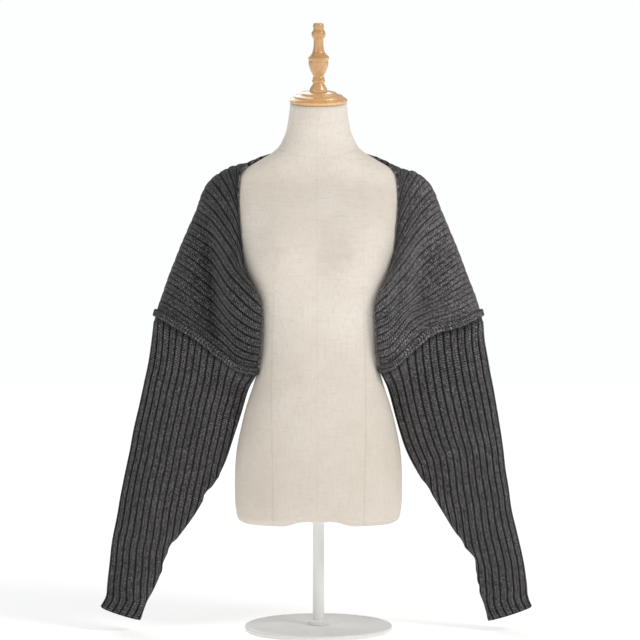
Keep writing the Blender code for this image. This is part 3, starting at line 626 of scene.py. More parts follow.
def clear_of_form(points, form, need):
    """The points, each moved out until it is a distance of need from the form."""
    moved = np.array(points, float)
    for number, point in enumerate(moved):
        place, normal, height = nearest_on_form(point, form)
        if height < need:
            moved[number] = place + normal * need
    return moved


def layer(start, end, leave, arrive, depth, rounding, folded):
    """The cloth from the crest to an edge: its front view line, swelled by depth in y.

    The line leaves and arrives at angles below the horizontal, inwards. Over the last stretch, of
    length rounding, the cloth turns back steeply at a folded end (1), and comes down gently at an
    open one (0).
    """
    share = (1 - np.cos(np.linspace(0, math.pi, PATH_SAMPLES))) / 2
    first, last = start[[0, 2]], end[[0, 2]]
    chord = math.hypot(*(last - first))
    out, into = (-chord * np.array((math.cos(turn), math.sin(turn))) for turn in (leave, arrive))
    flat = cubic(first, last, out, into, share[:, None])
    along = lengths_along(flat)
    length = max(along[-1], 1e-6)
    left = length - along
    turned = quarter(left / min(FOLD_ROUNDING, length / 2))
    laid = smoothstep(left / min(rounding, length * LONGEST_ROUNDING))
    swell = quarter(along / min(CREST_ROUNDING, length / 2))
    swell = swell * (folded * turned + (1 - folded) * laid)
    y = start[1] + (end[1] - start[1]) * along / length + depth * swell
    return np.stack([flat[:, 0], y, flat[:, 1]], axis=1)


def trough(points):
    """The points of an arm's front with the soft trough pressed into them."""
    x, y, z = points.T
    beside = np.exp(-(((np.abs(x) - TROUGH_X) / TROUGH_WIDTH) ** 2) / 2)
    deep = TROUGH_DEPTH * beside * (ease(z, *TROUGH_TOP) * ease(z, *TROUGH_BOTTOM))
    return np.stack([x, y + deep * ease(y, *TROUGH_FRONT), z], axis=1)


def rib_path(rib, form):
    """One rib of the right half, from the opening's edge over the crest to the hem."""
    front = smooth_table(FRONT_COLUMNS, FRONT_RIBS, "rib", rib)
    back = smooth_table(BACK_COLUMNS, BACK_RIBS, "rib", rib)
    crest = np.array([front["crest_" + axis] for axis in "xyz"])
    edge = np.array([front["edge_" + axis] for axis in "xyz"])
    hem = np.array([back["hem_" + axis] for axis in "xyz"])
    folded = ease(rib, SPLIT_RIB - FOLDING_RIBS, FOLDING_RIBS)
    need = CLOTH_CLEARANCE + WALL / 2
    if rib > SHOULDER_RIB:
        seen_from = Vector((edge[0], FRONT_OF_ALL, edge[2]))
        place, normal, _, _ = form.ray_cast(seen_from, Vector((0, 1, 0)))
        if place is not None:
            on_form = place[1] - need / max(abs(normal[1]), LEAST_FACING)
            edge[1] = on_form + (min(edge[1], on_form) - on_form) * folded
    if rib >= SPLIT_RIB:
        hem = edge
    else:
        place, normal, _ = nearest_on_form(hem, form)
        hem = place + normal * need
    leave, arrive = math.radians(back["leave_deg"]), math.radians(back["arrive_deg"])
    down_back = layer(crest, hem, leave, arrive, back["depth"], back["round"], 0)
    if rib <= SHOULDER_RIB:
        return down_back
    leave, arrive = math.radians(front["leave_deg"]), math.radians(front["arrive_deg"])
    down_front = layer(crest, edge, leave, arrive, -front["depth"], EDGE_ROUNDING, folded)
    return np.concatenate([down_front[::-1], down_back[1:]])


def panel_grid(steps_per_rib, rows, form):
    """The panel's middle surface: points[column][row], columns from the left seam to the right."""
    steps = range(LAST_RIB * steps_per_rib + 1)
    paths = (rib_path(step / steps_per_rib, form) for step in steps)
    half = np.array([trough(resample_bends(path, rows + 1)) for path in paths])
    grid = np.concatenate([half[:0:-1] * np.array((-1, 1, 1)), half])
    ribs = np.abs(np.arange(len(grid)) / steps_per_rib - LAST_RIB)
    loops = ribs >= SPLIT_RIB
    for _ in range(SETTLING_ROUNDS):
        grid, near = settled(grid, ribs, form)
        grid = relaxed(grid, near, loops)
    for _ in range(SETTLING_ROUNDS):
        grid, _ = settled(grid, ribs, form)
        grid[loops, -1] = grid[loops, 0]
    return grid, ribs


def room_needed(rib, row_share, y):
    """How far from the form the panel's middle keeps at a rib, at a share of the way to the hem."""
    room = UNDERARM_ROOM * ease(rib, *UNDERARM_RIBS) * ease(y, *UNDERARM_Y) * (row_share > 0.5)
    return CLOTH_CLEARANCE + WALL / 2 + room


def settled(grid, ribs, form):
    """The grid moved clear of the form, at its points and midway between them, and what lies near."""
    grid = grid.copy()
    near = np.zeros(grid.shape[:2], bool)
    rows = grid.shape[1] - 1
    for column, row in np.ndindex(grid.shape[:2]):
        place, normal, height = nearest_on_form(grid[column, row], form)
        near[column, row] = height < SETTLING_REACH
        need = room_needed(ribs[column], row / rows, place[1])
        if height < need:
            grid[column, row] = place + normal * need
    for across, down in ((2, 0), (0, 1), (2, 1), (2, -1)):
        for column in range(0, grid.shape[0] - across, 2):
            for row in range(max(0, -down), grid.shape[1] - max(0, down)):
                ends = (column, row), (column + across, row + down)
                if not (near[ends[0]] or near[ends[1]]):
                    continue
                middle = (grid[ends[0]] + grid[ends[1]]) / 2
                _, normal, height = nearest_on_form(middle, form)
                short = CLOTH_CLEARANCE + WALL / 2 - height
                if short > 0:
                    for end in ends:
                        grid[end] += normal * short * SETTLING_SHARE
    return grid, near


def relaxed(grid, near, loops):
    """The grid with each point that lies near the form drawn towards its neighbours."""
    soft = grid.copy()
    around = grid[:-2, 1:-1] + grid[2:, 1:-1] + grid[1:-1, :-2] + grid[1:-1, 2:]
    soft[1:-1, 1:-1] = RELAXED_KEPT * grid[1:-1, 1:-1] + (1 - RELAXED_KEPT) / 4 * around
    rims = grid[:, (0, -1)]
    beside = (rims[:-2] + rims[2:]) / 2
    soft[1:-1, (0, -1)] = RELAXED_KEPT_AT_RIMS * rims[1:-1] + (1 - RELAXED_KEPT_AT_RIMS) * beside
    soft[~near] = grid[~near]
    soft[loops, -1] = soft[loops, 0]
    return soft


def grid_numbers(columns, rows, loops, first=0):
    """Point numbers of a grid in which a loop's last row is its first."""
    numbers = np.arange(first, first + columns * rows).reshape(columns, rows)
    numbers[loops, -1] = numbers[loops, 0]
    return numbers


def grid_quads(numbers):
    """The four corners of each face of a grid, as four lists of point numbers."""
    a, b = numbers[:-1, :-1].ravel(), numbers[1:, :-1].ravel()
    return a, b, numbers[1:, 1:].ravel(), numbers[:-1, 1:].ravel()


def grid_normals(grid, loops):
    """Unit normals of a grid's points, pointing away from the wearer."""
    numbers = grid_numbers(*grid.shape[:2], loops)
    flat = grid.reshape(-1, 3)
    total = np.zeros_like(flat)
    a, b, c, d = grid_quads(numbers)
    faces = np.cross(flat[c] - flat[a], flat[d] - flat[b])
    for corner in (a, b, c, d):
        np.add.at(total, corner, faces)
    normals = unit(total[numbers])
    for _ in range(NORMAL_ROUNDS):
        around = normals.copy()
        around[1:-1] += (normals[:-2] + normals[2:]) / 2
        around[:, 1:-1] += (normals[:, :-2] + normals[:, 2:]) / 2
        around[loops, 0] += normals[loops, 1] + normals[loops, -2]
        around[loops, -1] = around[loops, 0]
        normals = unit(around)
    if normals[-1, grid.shape[1] // 2][0] < 0:
        normals = -normals
    looped = np.flatnonzero(loops)
    halfway = len(grid) // 2
    for column, side in ((looped[looped < halfway][-1], -1), (looped[looped > halfway][0], 1)):
        normals[column, 0] = unit(np.array(CROTCH_FACING) * (side, 1, 1))
        normals[column, -1] = normals[column, 0]
    return normals


def half_wall_at(grid):
    """Half the panel's wall at each point: it is drawn thin at the crotch, where edge and hem meet."""
    crotch = np.array(FRONT_RIBS[[row[0] for row in FRONT_RIBS].index(SPLIT_RIB)][5:8])
    reach = np.linalg.norm(np.abs(grid) * (1, 0, 0) + grid * (0, 1, 1) - crotch, axis=2)
    thin = 1 - smoothstep(reach / CROTCH_REACH)
    return (WALL + (CROTCH_WALL - WALL) * thin) / 2


def sleeve_ring(row):
    """One section of a sleeve as RING_SAMPLES points from the inner fold over the front, and back."""
    outer_x, outer_z, inner_x, inner_z, half_depth, middle_y = row
    turn = np.linspace(0, 2 * math.pi, 4 * RING_SAMPLES)
    middle = np.array(((outer_x + inner_x) / 2, middle_y, (outer_z + inner_z) / 2))
    reach = np.array(((inner_x - outer_x) / 2, 0, (inner_z - outer_z) / 2))
    depth = np.array((0, half_depth, 0))
    ring = middle + np.outer(np.cos(turn), reach) - np.outer(np.sin(turn), depth)
    along = lengths_along(ring)
    return read_off(np.linspace(0, along[-1], RING_SAMPLES + 1), along, ring)[:-1]


def spline_rings(controls, count):
    """Rings equally far apart along smooth curves through the control rings, and how far down."""
    along = lengths_along(controls.mean(axis=1))
    wanted = np.linspace(0, along[-1], count)
    names = ("along",) + tuple(range(controls.shape[1] * 3))
    rows = np.column_stack([along, controls.reshape(len(controls), -1)])
    found = smooth_table(names, rows, "along", wanted)
    rings = np.stack([found[name] for name in names[1:]], axis=1)
    return rings.reshape(count, controls.shape[1], 3), wanted


def ring_at(ring, shares):
    """Points of a closed ring at shares of its length, from its first point."""
    along = lengths_along(closed(ring))
    return read_off(shares * along[-1], along, closed(ring))


def carried(vectors, ring):
    """Unit vectors given at a ring's points, carried to RING_SAMPLES places equally far along it."""
    along = lengths_along(closed(ring))
    wanted = np.arange(RING_SAMPLES) / RING_SAMPLES * along[-1]
    return unit(read_off(wanted, along, closed(vectors)))


def ring_length(ring):
    return np.linalg.norm(np.diff(closed(ring), axis=0), axis=1).sum()


def ring_normals(rings):
    """Unit normals of a tube of rings, pointing out of it."""
    around = np.roll(rings, -1, axis=1) - np.roll(rings, 1, axis=1)
    down = np.gradient(rings, axis=0)
    normals = np.cross(around, down)
    normals /= np.linalg.norm(normals, axis=2, keepdims=True)
    outwards = rings - rings.mean(axis=1, keepdims=True)
    return normals if (normals * outwards).sum() > 0 else -normals


def seam_frame(grid, normals, side):
    """The panel's last column on one side as a loop, with the directions across the seam and up."""
    last = -1 if side > 0 else 0
    loop = grid[last, :-1]
    up = normals[last, :-1]
    along = unit(np.roll(loop, -1, axis=0) - np.roll(loop, 1, axis=0))
    across = unit(np.cross(along, up))
    if (across * (loop - grid[last - side, :-1])).sum() < 0:
        across = -across
    upright = np.cross(across, along)
    return loop, across, unit(upright * np.sign((upright * up).sum()))


def seam_rise(middle, form):
    """How much of its height the ridge has room for, between 0 and 1, at each place."""
    heights = np.array([nearest_on_form(point, form)[2] for point in middle])
    room = heights - WALL / 2 - 2 * CLOTH_CLEARANCE
    return np.clip(room / (SEAM_HEIGHT - WALL / 2), SEAM_LEAST_RISE, 1)


def interpolated(values, at, ring=False):
    """Smooth curves through the rows of values, or round a ring of them, at fractional row numbers."""
    count = len(values)
    low = np.floor(at + 1e-9).astype(int)
    if ring:
        corners = [values[(low + shift) % count] for shift in (-1, 0, 1, 2)]
    else:
        low = np.clip(low, 0, count - 2)
        before, after = 2 * values[:1] - values[1:2], 2 * values[-1:] - values[-2:-1]
        padded = np.concatenate([before, values, after])
        corners = [padded[low + shift] for shift in range(4)]
    s = (at - low).reshape((-1,) + (1,) * (values.ndim - 1))
    before, start, end, after = corners
    bend = 2 * before - 5 * start + 4 * end - after + s * (3 * (start - end) + after - before)
    return start + s / 2 * (end - before + s * bend)


def finer(grid, loops, rows_at, columns_at):
    """The panel's grid or its normals at more rows and columns."""
    columns = [
        interpolated(column[:-1] if loop else column, rows_at, loop)
        for column, loop in zip(grid, loops)
    ]
    return interpolated(np.array(columns), columns_at)


def folded(points, normals, folds):
    """How far each point is moved out by the soft folds near it."""
    moved = np.zeros(points.shape[:-1])
    for x0, z0, x1, z1, width, height, side in folds:
        line = np.array((x1 - x0, z1 - z0), float)
        reach = points[..., (0, 2)] - (x0, z0)
        along = (reach @ line) / (line @ line)
        off = np.linalg.norm(reach - np.clip(along, 0, 1)[..., None] * line, axis=-1)
        facing = smoothstep(normals[..., 1] * side * FOLD_FACING) if side else 1.0
        fade = smoothstep(FOLD_ENDS[0] - np.abs(along - 0.5) * FOLD_ENDS[1])
        moved += height * np.exp(-((off / width) ** 2) / 2) * facing * fade
    return moved


def uneven(points, height, size, start):
    """Soft noise at each point, up to about the height either way."""
    flat = points.reshape(-1, 3) / size + start
    return height * np.array([noise.noise(Vector(p)) for p in flat]).reshape(points.shape[:-1])


def slid(points):
    """The cloth slid a little in its own face where the two sides hang unlike one another."""
    points = np.array(points, float)
    x, y, z = points[..., 0], points[..., 1], points[..., 2]
    front = ease(y, *SLIDING_FRONT)
    lift = sum(height * ease(x, *fade) for height, fade in RIGHT_LIFTS)
    lift = lift * ease(x, *RIGHT_LIFT_END) * hill(z, *RIGHT_LIFT_Z)
    lift += LEFT_LIFT * ease(x, *LEFT_LIFT_INNER) * ease(x, *LEFT_LIFT_OUTER) * hill(z, *LEFT_LIFT_Z)
    top = sum(height * hill(x, *place) for height, place in TOP_LIFTS)
    lift = lift * front + ease(z, *TOP_LIFT_Z) * top
    inwards = WAIST_SLIDE * spot(points, *WAIST_SPOT, mirrored=True)
    inwards -= EDGE_SLIDE * front * spot(points, *EDGE_SPOT, mirrored=True)
    aside = BREAST_SLIDE * front * spot(points, *BREAST_SPOT)
    return np.stack([x - np.sign(x) * inwards - aside, y, z + lift], axis=-1)


def rib_profile(phase):
    """The height across one rib, 1 over most of its width, with a narrow valley at phase 0."""
    off = np.abs(2 * (phase % 1) - 1)
    return 1 - off**RIB_FLATNESS - GROOVE_SHARE * np.exp(-((off / GROOVE_WIDTH) ** 2))


def add_piece(name, points, faces, uv, finish):
    """A closed mesh in metres, with its knit coordinates, riding on the part's one body."""
    mesh = bpy.data.meshes.new(name)
    mesh.from_pydata((np.asarray(points) * MM).tolist(), [], [tuple(int(c) for c in f) for f in faces])
    if uv is not None:
        layer = mesh.uv_layers.new(name="knit")
        layer.data.foreach_set("uv", np.asarray(uv, np.float32).ravel())
    work = bmesh.new()
    work.from_mesh(mesh)
    spare = [corner for corner in work.verts if not corner.link_faces]
    bmesh.ops.delete(work, geom=spare, context="VERTS")
    bmesh.ops.recalc_face_normals(work, faces=work.faces)
    work.to_mesh(mesh)
    work.free()
    mesh.shade_smooth()
    mesh.materials.append(finish)
    obj = bpy.data.objects.new(name, mesh)
    bpy.context.scene.collection.objects.link(obj)
    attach(obj, "root")
    return obj


def face_uv(uv, faces):
    return uv[np.array(faces).ravel()]


def panel_relief(points, facing, from_middle, row_share, to_edge, rib_at):
    """How far the panel's outside is moved out, as soft folds and as ribs and a rolled edge."""
    off_split = np.abs(from_middle - SPLIT_RIB)
    crease = ease(off_split, *CREASE_RIBS) * ease(row_share, *CREASE_ROWS)
    crease = np.maximum(crease, ease(off_split, *CREASE_END_RIBS) * (row_share < CREASE_END_ROWS))
    rise = EDGE_RISE - EDGE_RISE_SHORTER * ease(from_middle, *EDGE_RISE_RIBS)
    strength = (1 - crease) * (1 - ease(from_middle, *PANEL_PLAIN_RIBS))
    strength = strength * ease(to_edge, EDGE_PLAIN, rise)
    outward = smoothstep(facing[..., 0] * np.sign(points[..., 0]) * STRETCHED_FACING)
    strength = strength * (1 - STRETCHED_FLAT * outward * ease(from_middle, *STRETCHED_RIBS))
    upward = smoothstep(facing[..., 2] * SHOULDER_FACING) * ease(from_middle, *SHOULDER_RIBS)
    strength = strength * (1 - SHOULDER_FLAT * upward)
    strength = strength * (MEAN_STRENGTH + uneven(points, *STRENGTH_NOISE))
    ribbed = rib_profile(rib_at) * np.ones(points.shape[1])
    bulge = ease(np.abs(points[..., 0]), *BULGE_X) * ease(points[..., 2], *BULGE_Z)
    bulge = bulge * ease(from_middle, *BULGE_RIBS) * ease(points[..., 1], *BULGE_Y)
    height = RIB_HEIGHT * (1 + BULGE * bulge) + VALLEY_DEPTH
    roll = ROLL_HEIGHT * hill(to_edge, ROLL_AT, ROLL_WIDTH)
    roll = roll * (1 - SCALLOP * (1 - ribbed) * ease(from_middle, *SCALLOP_RIBS))
    soft = folded(points, facing, BODY_FOLDS) + uneven(points, *PANEL_NOISE)
    soft = soft * smoothstep(to_edge / EDGE_STIFF) * (1 - crease) * ease(from_middle, *SEAM_STIFF_RIBS)
    return soft, (height * ribbed - VALLEY_DEPTH) * strength + roll


def build_panel(form, fine_form, finish):
    """The body panel, its ribs and folds, and the grid and normals that the seams start from."""
    grid, ribs = panel_grid(2, PANEL_ROWS, form)
    loops = ribs >= SPLIT_RIB
    normals = grid_normals(grid, loops)
    edge = np.array(EDGE_ROWS)
    middle = np.arange(1, PANEL_ROWS - 1 + ROW_STEP / 2, ROW_STEP)
    rows_at = np.concatenate([edge, middle, PANEL_ROWS - edge[::-1]])
    rib_at = [rib + phase for rib in range(2 * LAST_RIB) for phase in RIB_PHASES]
    rib_at = np.append(rib_at, 2.0 * LAST_RIB)
    fine = finer(grid, loops, rows_at, 2 * rib_at)
    facing = unit(finer(normals, loops, rows_at, 2 * rib_at))
    from_middle = np.abs(rib_at - LAST_RIB)
    fine_loops = from_middle >= SPLIT_RIB - 1e-6
    for values in (fine, facing):
        values[fine_loops, -1] = values[fine_loops, 0]
    along = np.array([lengths_along(column) for column in fine])
    to_edge = np.minimum(along, along[:, -1:] - along)
    to_edge[fine_loops] = NO_EDGE
    measures = from_middle[:, None], rows_at / PANEL_ROWS, to_edge, rib_at[:, None]
    soft, relief = panel_relief(fine, facing, *measures)
    fine = slid(fine + facing * soft[..., None])
    clearance = PANEL_CLEARANCE + WALL / 2
    fine = clear_of_form(fine.reshape(-1, 3), fine_form, clearance).reshape(fine.shape)
    half_wall = half_wall_at(fine)
    outside = fine + facing * (half_wall + relief)[..., None]
    lined = np.flatnonzero(np.isin(np.arange(len(fine)) % len(RIB_PHASES), (0, MIDDLE_PHASE)))
    inside = (fine - facing * half_wall[..., None])[lined]
    outer = grid_numbers(*fine.shape[:2], fine_loops)
    inner = grid_numbers(*inside.shape[:2], fine_loops[lined], first=outer.size)
    points = np.concatenate([outside.reshape(-1, 3), inside.reshape(-1, 3)])
    knit = np.stack([rib_at[:, None] * np.ones_like(along), along / STITCH_LENGTH], axis=2)
    uv = np.concatenate([knit.reshape(-1, 2), knit[lined].reshape(-1, 2)])
    faces = []
    for numbers in (outer, inner):
        a, b, c, d = grid_quads(numbers)
        faces += np.stack([a, b, c], axis=1).tolist() + np.stack([a, c, d], axis=1).tolist()
    row_order = np.arange(len(rows_at))
    for side in (0, -1):
        faces += zip_rows(list(outer[side]), row_order, list(inner[side]), row_order)
    rim = np.flatnonzero(from_middle <= SPLIT_RIB + 1e-6)
    lined_rim = np.isin(lined, rim)
    for row in (0, -1):
        faces += zip_rows(list(outer[rim, row]), rim, list(inner[lined_rim, row]), lined[lined_rim])
    faces = [face for face in faces if len(set(face)) == 3]
    panel = add_piece("knit_body", points, faces, face_uv(uv, faces), finish)
    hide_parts("body_panel")
    return grid, normals, panel


def outermost_turn(ring):
    """How far round a ring its outermost place lies past the middle of its length."""
    at = lengths_along(closed(ring))
    out = np.abs(ring[:, 0])
    weight = np.exp((out - out.max()) / OUTERMOST_REACH)
    return (weight * at[:-1]).sum() / weight.sum() - at[-1] / 2


def sleeve_rings(controls, seam_up, folds, form):
    """Rings down a sleeve with its soft folds, their normals, and how far down they lie."""
    rings, down = spline_rings(controls, SLEEVE_ROWS + 1)
    need = 4 * CLOTH_CLEARANCE + WALL
    rings[1:] = clear_of_form(rings[1:].reshape(-1, 3), form, need).reshape(rings[1:].shape)
    normals = ring_normals(rings)
    normals[0] = seam_up
    at = np.linspace(0, SLEEVE_ROWS, SLEEVE_FINE_ROWS)
    at = np.concatenate([SLEEVE_TOP_ROWS, at, SLEEVE_ROWS - np.array(SLEEVE_CUFF_ROWS)])
    at = np.unique(np.round(at, 5))
    rings, normals = interpolated(rings, at), unit(interpolated(normals, at))
    down = np.interp(at, np.arange(SLEEVE_ROWS + 1), down)
    above = down[-1] - down
    moved = folded(rings, normals, folds) + uneven(rings, *SLEEVE_NOISE)
    ends = smoothstep(down / SLEEVE_STIFF_TOP) * smoothstep(above / SLEEVE_STIFF_CUFF)
    cuff = CUFF_FLARE * ease(above, *CUFF_FLARE_AT)
    cuff = cuff - CUFF_PINCH * hill(above, CUFF_PINCH_AT, CUFF_PINCH_WIDTH)
    moved = moved * ends[:, None] + cuff[:, None]
    return rings + normals * moved[..., None], normals, down


def build_sleeve(name, controls, seam_up, folds, straight, form, finish):
    """A sleeve with fine ribs, which run out at the underarm seam as it narrows."""
    rings, normals, down = sleeve_rings(controls, seam_up, folds, form)
    near = hill(down[:, None], down[None, :], SLEEVE_EVEN)
    turned = near @ np.array([outermost_turn(ring) for ring in rings]) / near.sum(axis=1)
    lengths = np.array([ring_length(ring) for ring in rings])
    stretch = np.where(down < straight, lengths / np.interp(straight, down, lengths), 1.0)
    far = np.array((1, 2)) * SLEEVE_SEAM_AT
    points, faces, uv, seam_u = [], [], [], []
    # The outside and the inside: the phases of their columns, and their rows and places so far
    layers = (1, RIB_PHASES, [], []), (-1, (0.0, 0.5), [], [])
    sections = zip(rings, normals, down, turned, lengths, stretch)
    for ring, normal, depth, turn, length, pulled in sections:
        limit = length / 2 - UNDERARM_SEAM
        count = int((limit + abs(turn)) / pulled / SLEEVE_RIB_PITCH) + 1
        started = ease(depth, *SLEEVE_PLAIN_TOP) * ease(down[-1] - depth, *SLEEVE_PLAIN_CUFF)
        for side, phases, rows, rows_at in layers:
            ribs = np.add.outer(np.arange(-count - 1, count + 1), phases).ravel()
            places = (ribs - 0.5) * SLEEVE_RIB_PITCH
            spread = places * pulled + turn
            keep = np.abs(spread) < limit - UNDERARM_RIB_GAP
            ribs, places, spread = ribs[keep], places[keep], spread[keep]
            shares = 0.5 + np.concatenate([[-limit], spread, [limit]]) / length
            shares = np.concatenate([[0], shares])
            lift = np.full(len(shares), side * WALL / 2)
            if side > 0:
                strength = started * smoothstep((limit - np.abs(spread)) / UNDERARM_SEAM)
                relief = ((RIB_HEIGHT + VALLEY_DEPTH) * rib_profile(ribs) - VALLEY_DEPTH) * strength
                lift += np.concatenate([[UNDERARM_BED, UNDERARM_RIM], relief, [UNDERARM_RIM]])
            first = len(points)
            facing = unit(read_off(shares, np.linspace(0, 1, len(ring) + 1), closed(normal)))
            points += list(ring_at(ring, shares) + facing * lift[:, None])
            beside = (np.array((-limit, limit)) - turn) / pulled
            at_u = np.concatenate([[0, beside[0]], places, [beside[1]]]) / SLEEVE_RIB_PITCH + 0.5
            uv += [(value, depth / STITCH_LENGTH) for value in at_u]
            seam_u += [(length / 2 / pulled, turn / pulled)] + [(0, 0)] * (len(shares) - 1)
            rows.append([*range(first, len(points)), first])
            rows_at.append(np.concatenate([-far[::-1], places, far]))
    for *_, rows, rows_at in layers:
        for number in range(len(rows) - 1):
            faces += zip_rows(rows[number], rows_at[number], rows[number + 1], rows_at[number + 1])
    (*_, outer, outer_at), (*_, inner, inner_at) = layers
    for end in (0, -1):
        faces += zip_rows(outer[end], outer_at[end], inner[end], inner_at[end])
    # The corners on the underarm seam lie half a turn away on either side of it
    faces = np.array(faces)
    found = np.array(uv)[faces]
    half, turn = np.moveaxis(np.array(seam_u)[faces] / SLEEVE_RIB_PITCH, 2, 0)
    side = np.sign(np.where(half > 0, 0, found[..., 0] - 0.5).sum(axis=1))[:, None]
    found[..., 0] = np.where(half > 0, 0.5 + side * half - turn, found[..., 0])
    sleeve = add_piece("knit_" + name, slid(points), faces, found.reshape(-1, 2), finish)
    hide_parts(name)
    return sleeve


def build_ridge(name, loop, across, up, form, fine_form, finish):
    """The linked seam: a rounded roll, with small curls of cast-off loops along it."""
    middle = loop + across * (SEAM_HALF_WIDTH + GAP)
    rise = seam_rise(middle, form)
    count = int(ring_length(middle) / RIDGE_STEP)
    at = np.arange(count) / count * len(middle)
    centres = interpolated(middle, at, True)
    sides, ups = unit(interpolated(across, at, True)), unit(interpolated(up, at, True))
    rises = np.interp(at, np.arange(len(rise) + 1), closed(rise))
    spaced = np.arange(count) * ring_length(centres) / count
    outer = np.abs(centres[:, 0]).max()
    rings = []
    for centre, side, normal, share, place in zip(centres, sides, ups, rises, spaced):
        pressed = PRESSED_HEIGHT * hill(abs(centre[0]), outer, PRESSED_REACH)
        ring = []
        for reach, height in RIDGE_PROFILE:
            over = max(height - WALL / 2, 0) * share
            turn = 2 * math.pi * place / CURL_PITCH + (math.pi if reach > 0 else 0)
            waves = (part * math.cos(turns * turn + reach * lean) for part, turns, lean in CURL_WAVES)
            curl = CURL_HEIGHT * sum(waves)
            beside = Vector(centre + side * reach)
            loose = sum(part * noise.noise(beside / size) for part, size in LOOSE_LOOPS)
            out = (over / FULL_RISE) * (curl + LOOSE_HEIGHT * loose + pressed)
            swelled = side * reach * (1 + CURL_SWELL * curl * (over > 0.5))
            ring.append(centre + swelled + normal * (min(height, WALL / 2) + over + out))
        rings.append(ring)
    corners = len(RIDGE_PROFILE)
    faces = []
    for low in range(0, count * corners, corners):
        high = (low + corners) % (count * corners)
        for corner in range(corners):
            other = (corner + 1) % corners
            faces.append((low + corner, low + other, high + other))
            faces.append((low + corner, high + other, high + corner))
    at_section = np.repeat(spaced / STITCH_LENGTH, corners)
    uv = np.stack([np.tile(np.arange(corners) / RIDGE_CORNERS_PER_RIB, count), at_section], axis=1)
    points = clear_of_form(slid(np.concatenate(rings)), fine_form, RIDGE_CLEARANCE)
    ridge = add_piece("knit_" + name, points, faces, face_uv(uv, faces), finish)
    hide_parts(name)
    return ridge


def turned_piece(name, profile, finish, replaced):
    """A piece turned about the neck's axis, its profile a little rounder between the tabled places."""
    profile = np.array(profile, float)
    numbers = np.arange(len(profile))
    at = np.linspace(0, numbers[-1], TURNED_STEPS * numbers[-1] + 1)
    smooth = TURNED_ROUNDING * interpolated(profile, at)
    smooth = smooth + (1 - TURNED_ROUNDING) * read_off(at, numbers, profile)
    base = np.array((0.0, NECK_CENTRE_Y, NECK_TOP))
    axis = np.array((0.0, -math.sin(NECK_TILT), math.cos(NECK_TILT)))
    across = np.array((1.0, 0.0, 0.0))
    turn = np.linspace(0, 2 * math.pi, TURNED_SIDES, endpoint=False)
    spokes = np.outer(np.cos(turn), across) + np.outer(np.sin(turn), np.cross(axis, across))
    rings = [base + height * axis + radius * spokes for radius, height in smooth]
    obj = add_piece(name, *tube(rings), None, finish)
    obj.data.set_sharp_from_angle(angle=TURNED_SHARP)
    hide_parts(replaced)
    return obj


class Nodes:
    """Short calls for a material's node tree."""

    def __init__(self, name):
        self.material = bpy.data.materials.new(name)
        self.material.use_nodes = True
        self.tree = self.material.node_tree
        self.shader = self.tree.nodes["Principled BSDF"]
        self.place = self.node("TexCoord").outputs["Object"]

    def fill(self, socket, value):
        """Links a socket or sets its value; a tone is given without its alpha."""
        if isinstance(value, bpy.types.NodeSocket):
            self.tree.links.new(value, socket)
        else:
            socket.default_value = (*value, 1.0) if socket.type == "RGBA" else value

    def node(self, kind, inputs=(), **settings):
        made = self.tree.nodes.new("ShaderNode" + kind)
        for key, value in settings.items():
            setattr(made, key, value)
        for key, value in dict(inputs).items():
            self.fill(made.inputs[key], value)
        return made

    def set(self, **inputs):
        for key, value in inputs.items():
            self.fill(self.shader.inputs[key.replace("_", " ")], value)

    def xyz(self, vector):
        return (self.node("SeparateXYZ", {"Vector": vector}).outputs[axis] for axis in "XYZ")

    def mapped(self, scale, turn=(0.0, 0.0, 0.0)):
        return self.node("Mapping", {"Vector": self.place, "Rotation": turn, "Scale": scale}).outputs[0]

    def math(self, operation, a, b=0.0, c=0.0):
        return self.node("Math", {0: a, 1: b, 2: c}, operation=operation).outputs[0]

    def times(self, a, b):
        return self.math("MULTIPLY", a, b)

    def plus(self, a, b):
        return self.math("ADD", a, b)

    def off(self, a, b=0.0):
        """How far a is from b."""
        return self.math("ABSOLUTE", self.math("SUBTRACT", a, b))

    def wave(self, turns):
        return self.math("SINE", self.times(turns, 2 * math.pi))

    def noise(self, scale, detail=2.0, roughness=0.5, where=None):
        made = self.node("TexNoise", {"Vector": where or self.place, "Scale": scale, "Detail": detail})
        made.inputs["Roughness"].default_value = roughness
        return made.outputs["Fac"]

    def ramp(self, fac, low, high, to_low=0.0, to_high=1.0):
        inputs = {0: fac, 1: low, 2: high, 3: to_low, 4: to_high}
        return self.node("MapRange", inputs, interpolation_type="SMOOTHSTEP").outputs["Result"]

    def mix(self, fac, a, b, blend="MIX"):
        made = self.node("Mix", data_type="RGBA", blend_type=blend)
        for key, value in ((0, fac), (6, a), (7, b)):
            self.fill(made.inputs[key], value)
        return made.outputs[2]

    def shaded(self, shade, *ramps):
        """The shade times each of the ramps."""
        for ramp in ramps:
            shade = self.times(shade, self.ramp(*ramp))
        return shade

    def tinted(self, colour, shade):
        grey = self.node("CombineColor", {0: shade, 1: shade, 2: shade}).outputs[0]
        return self.mix(1.0, colour, grey, "MULTIPLY")

    def bump(self, height, distance, strength=1.0, after=None):
        inputs = {"Height": height, "Distance": distance, "Strength": strength}
        if after is not None:
            inputs["Normal"] = after
        return self.node("Bump", inputs).outputs["Normal"]


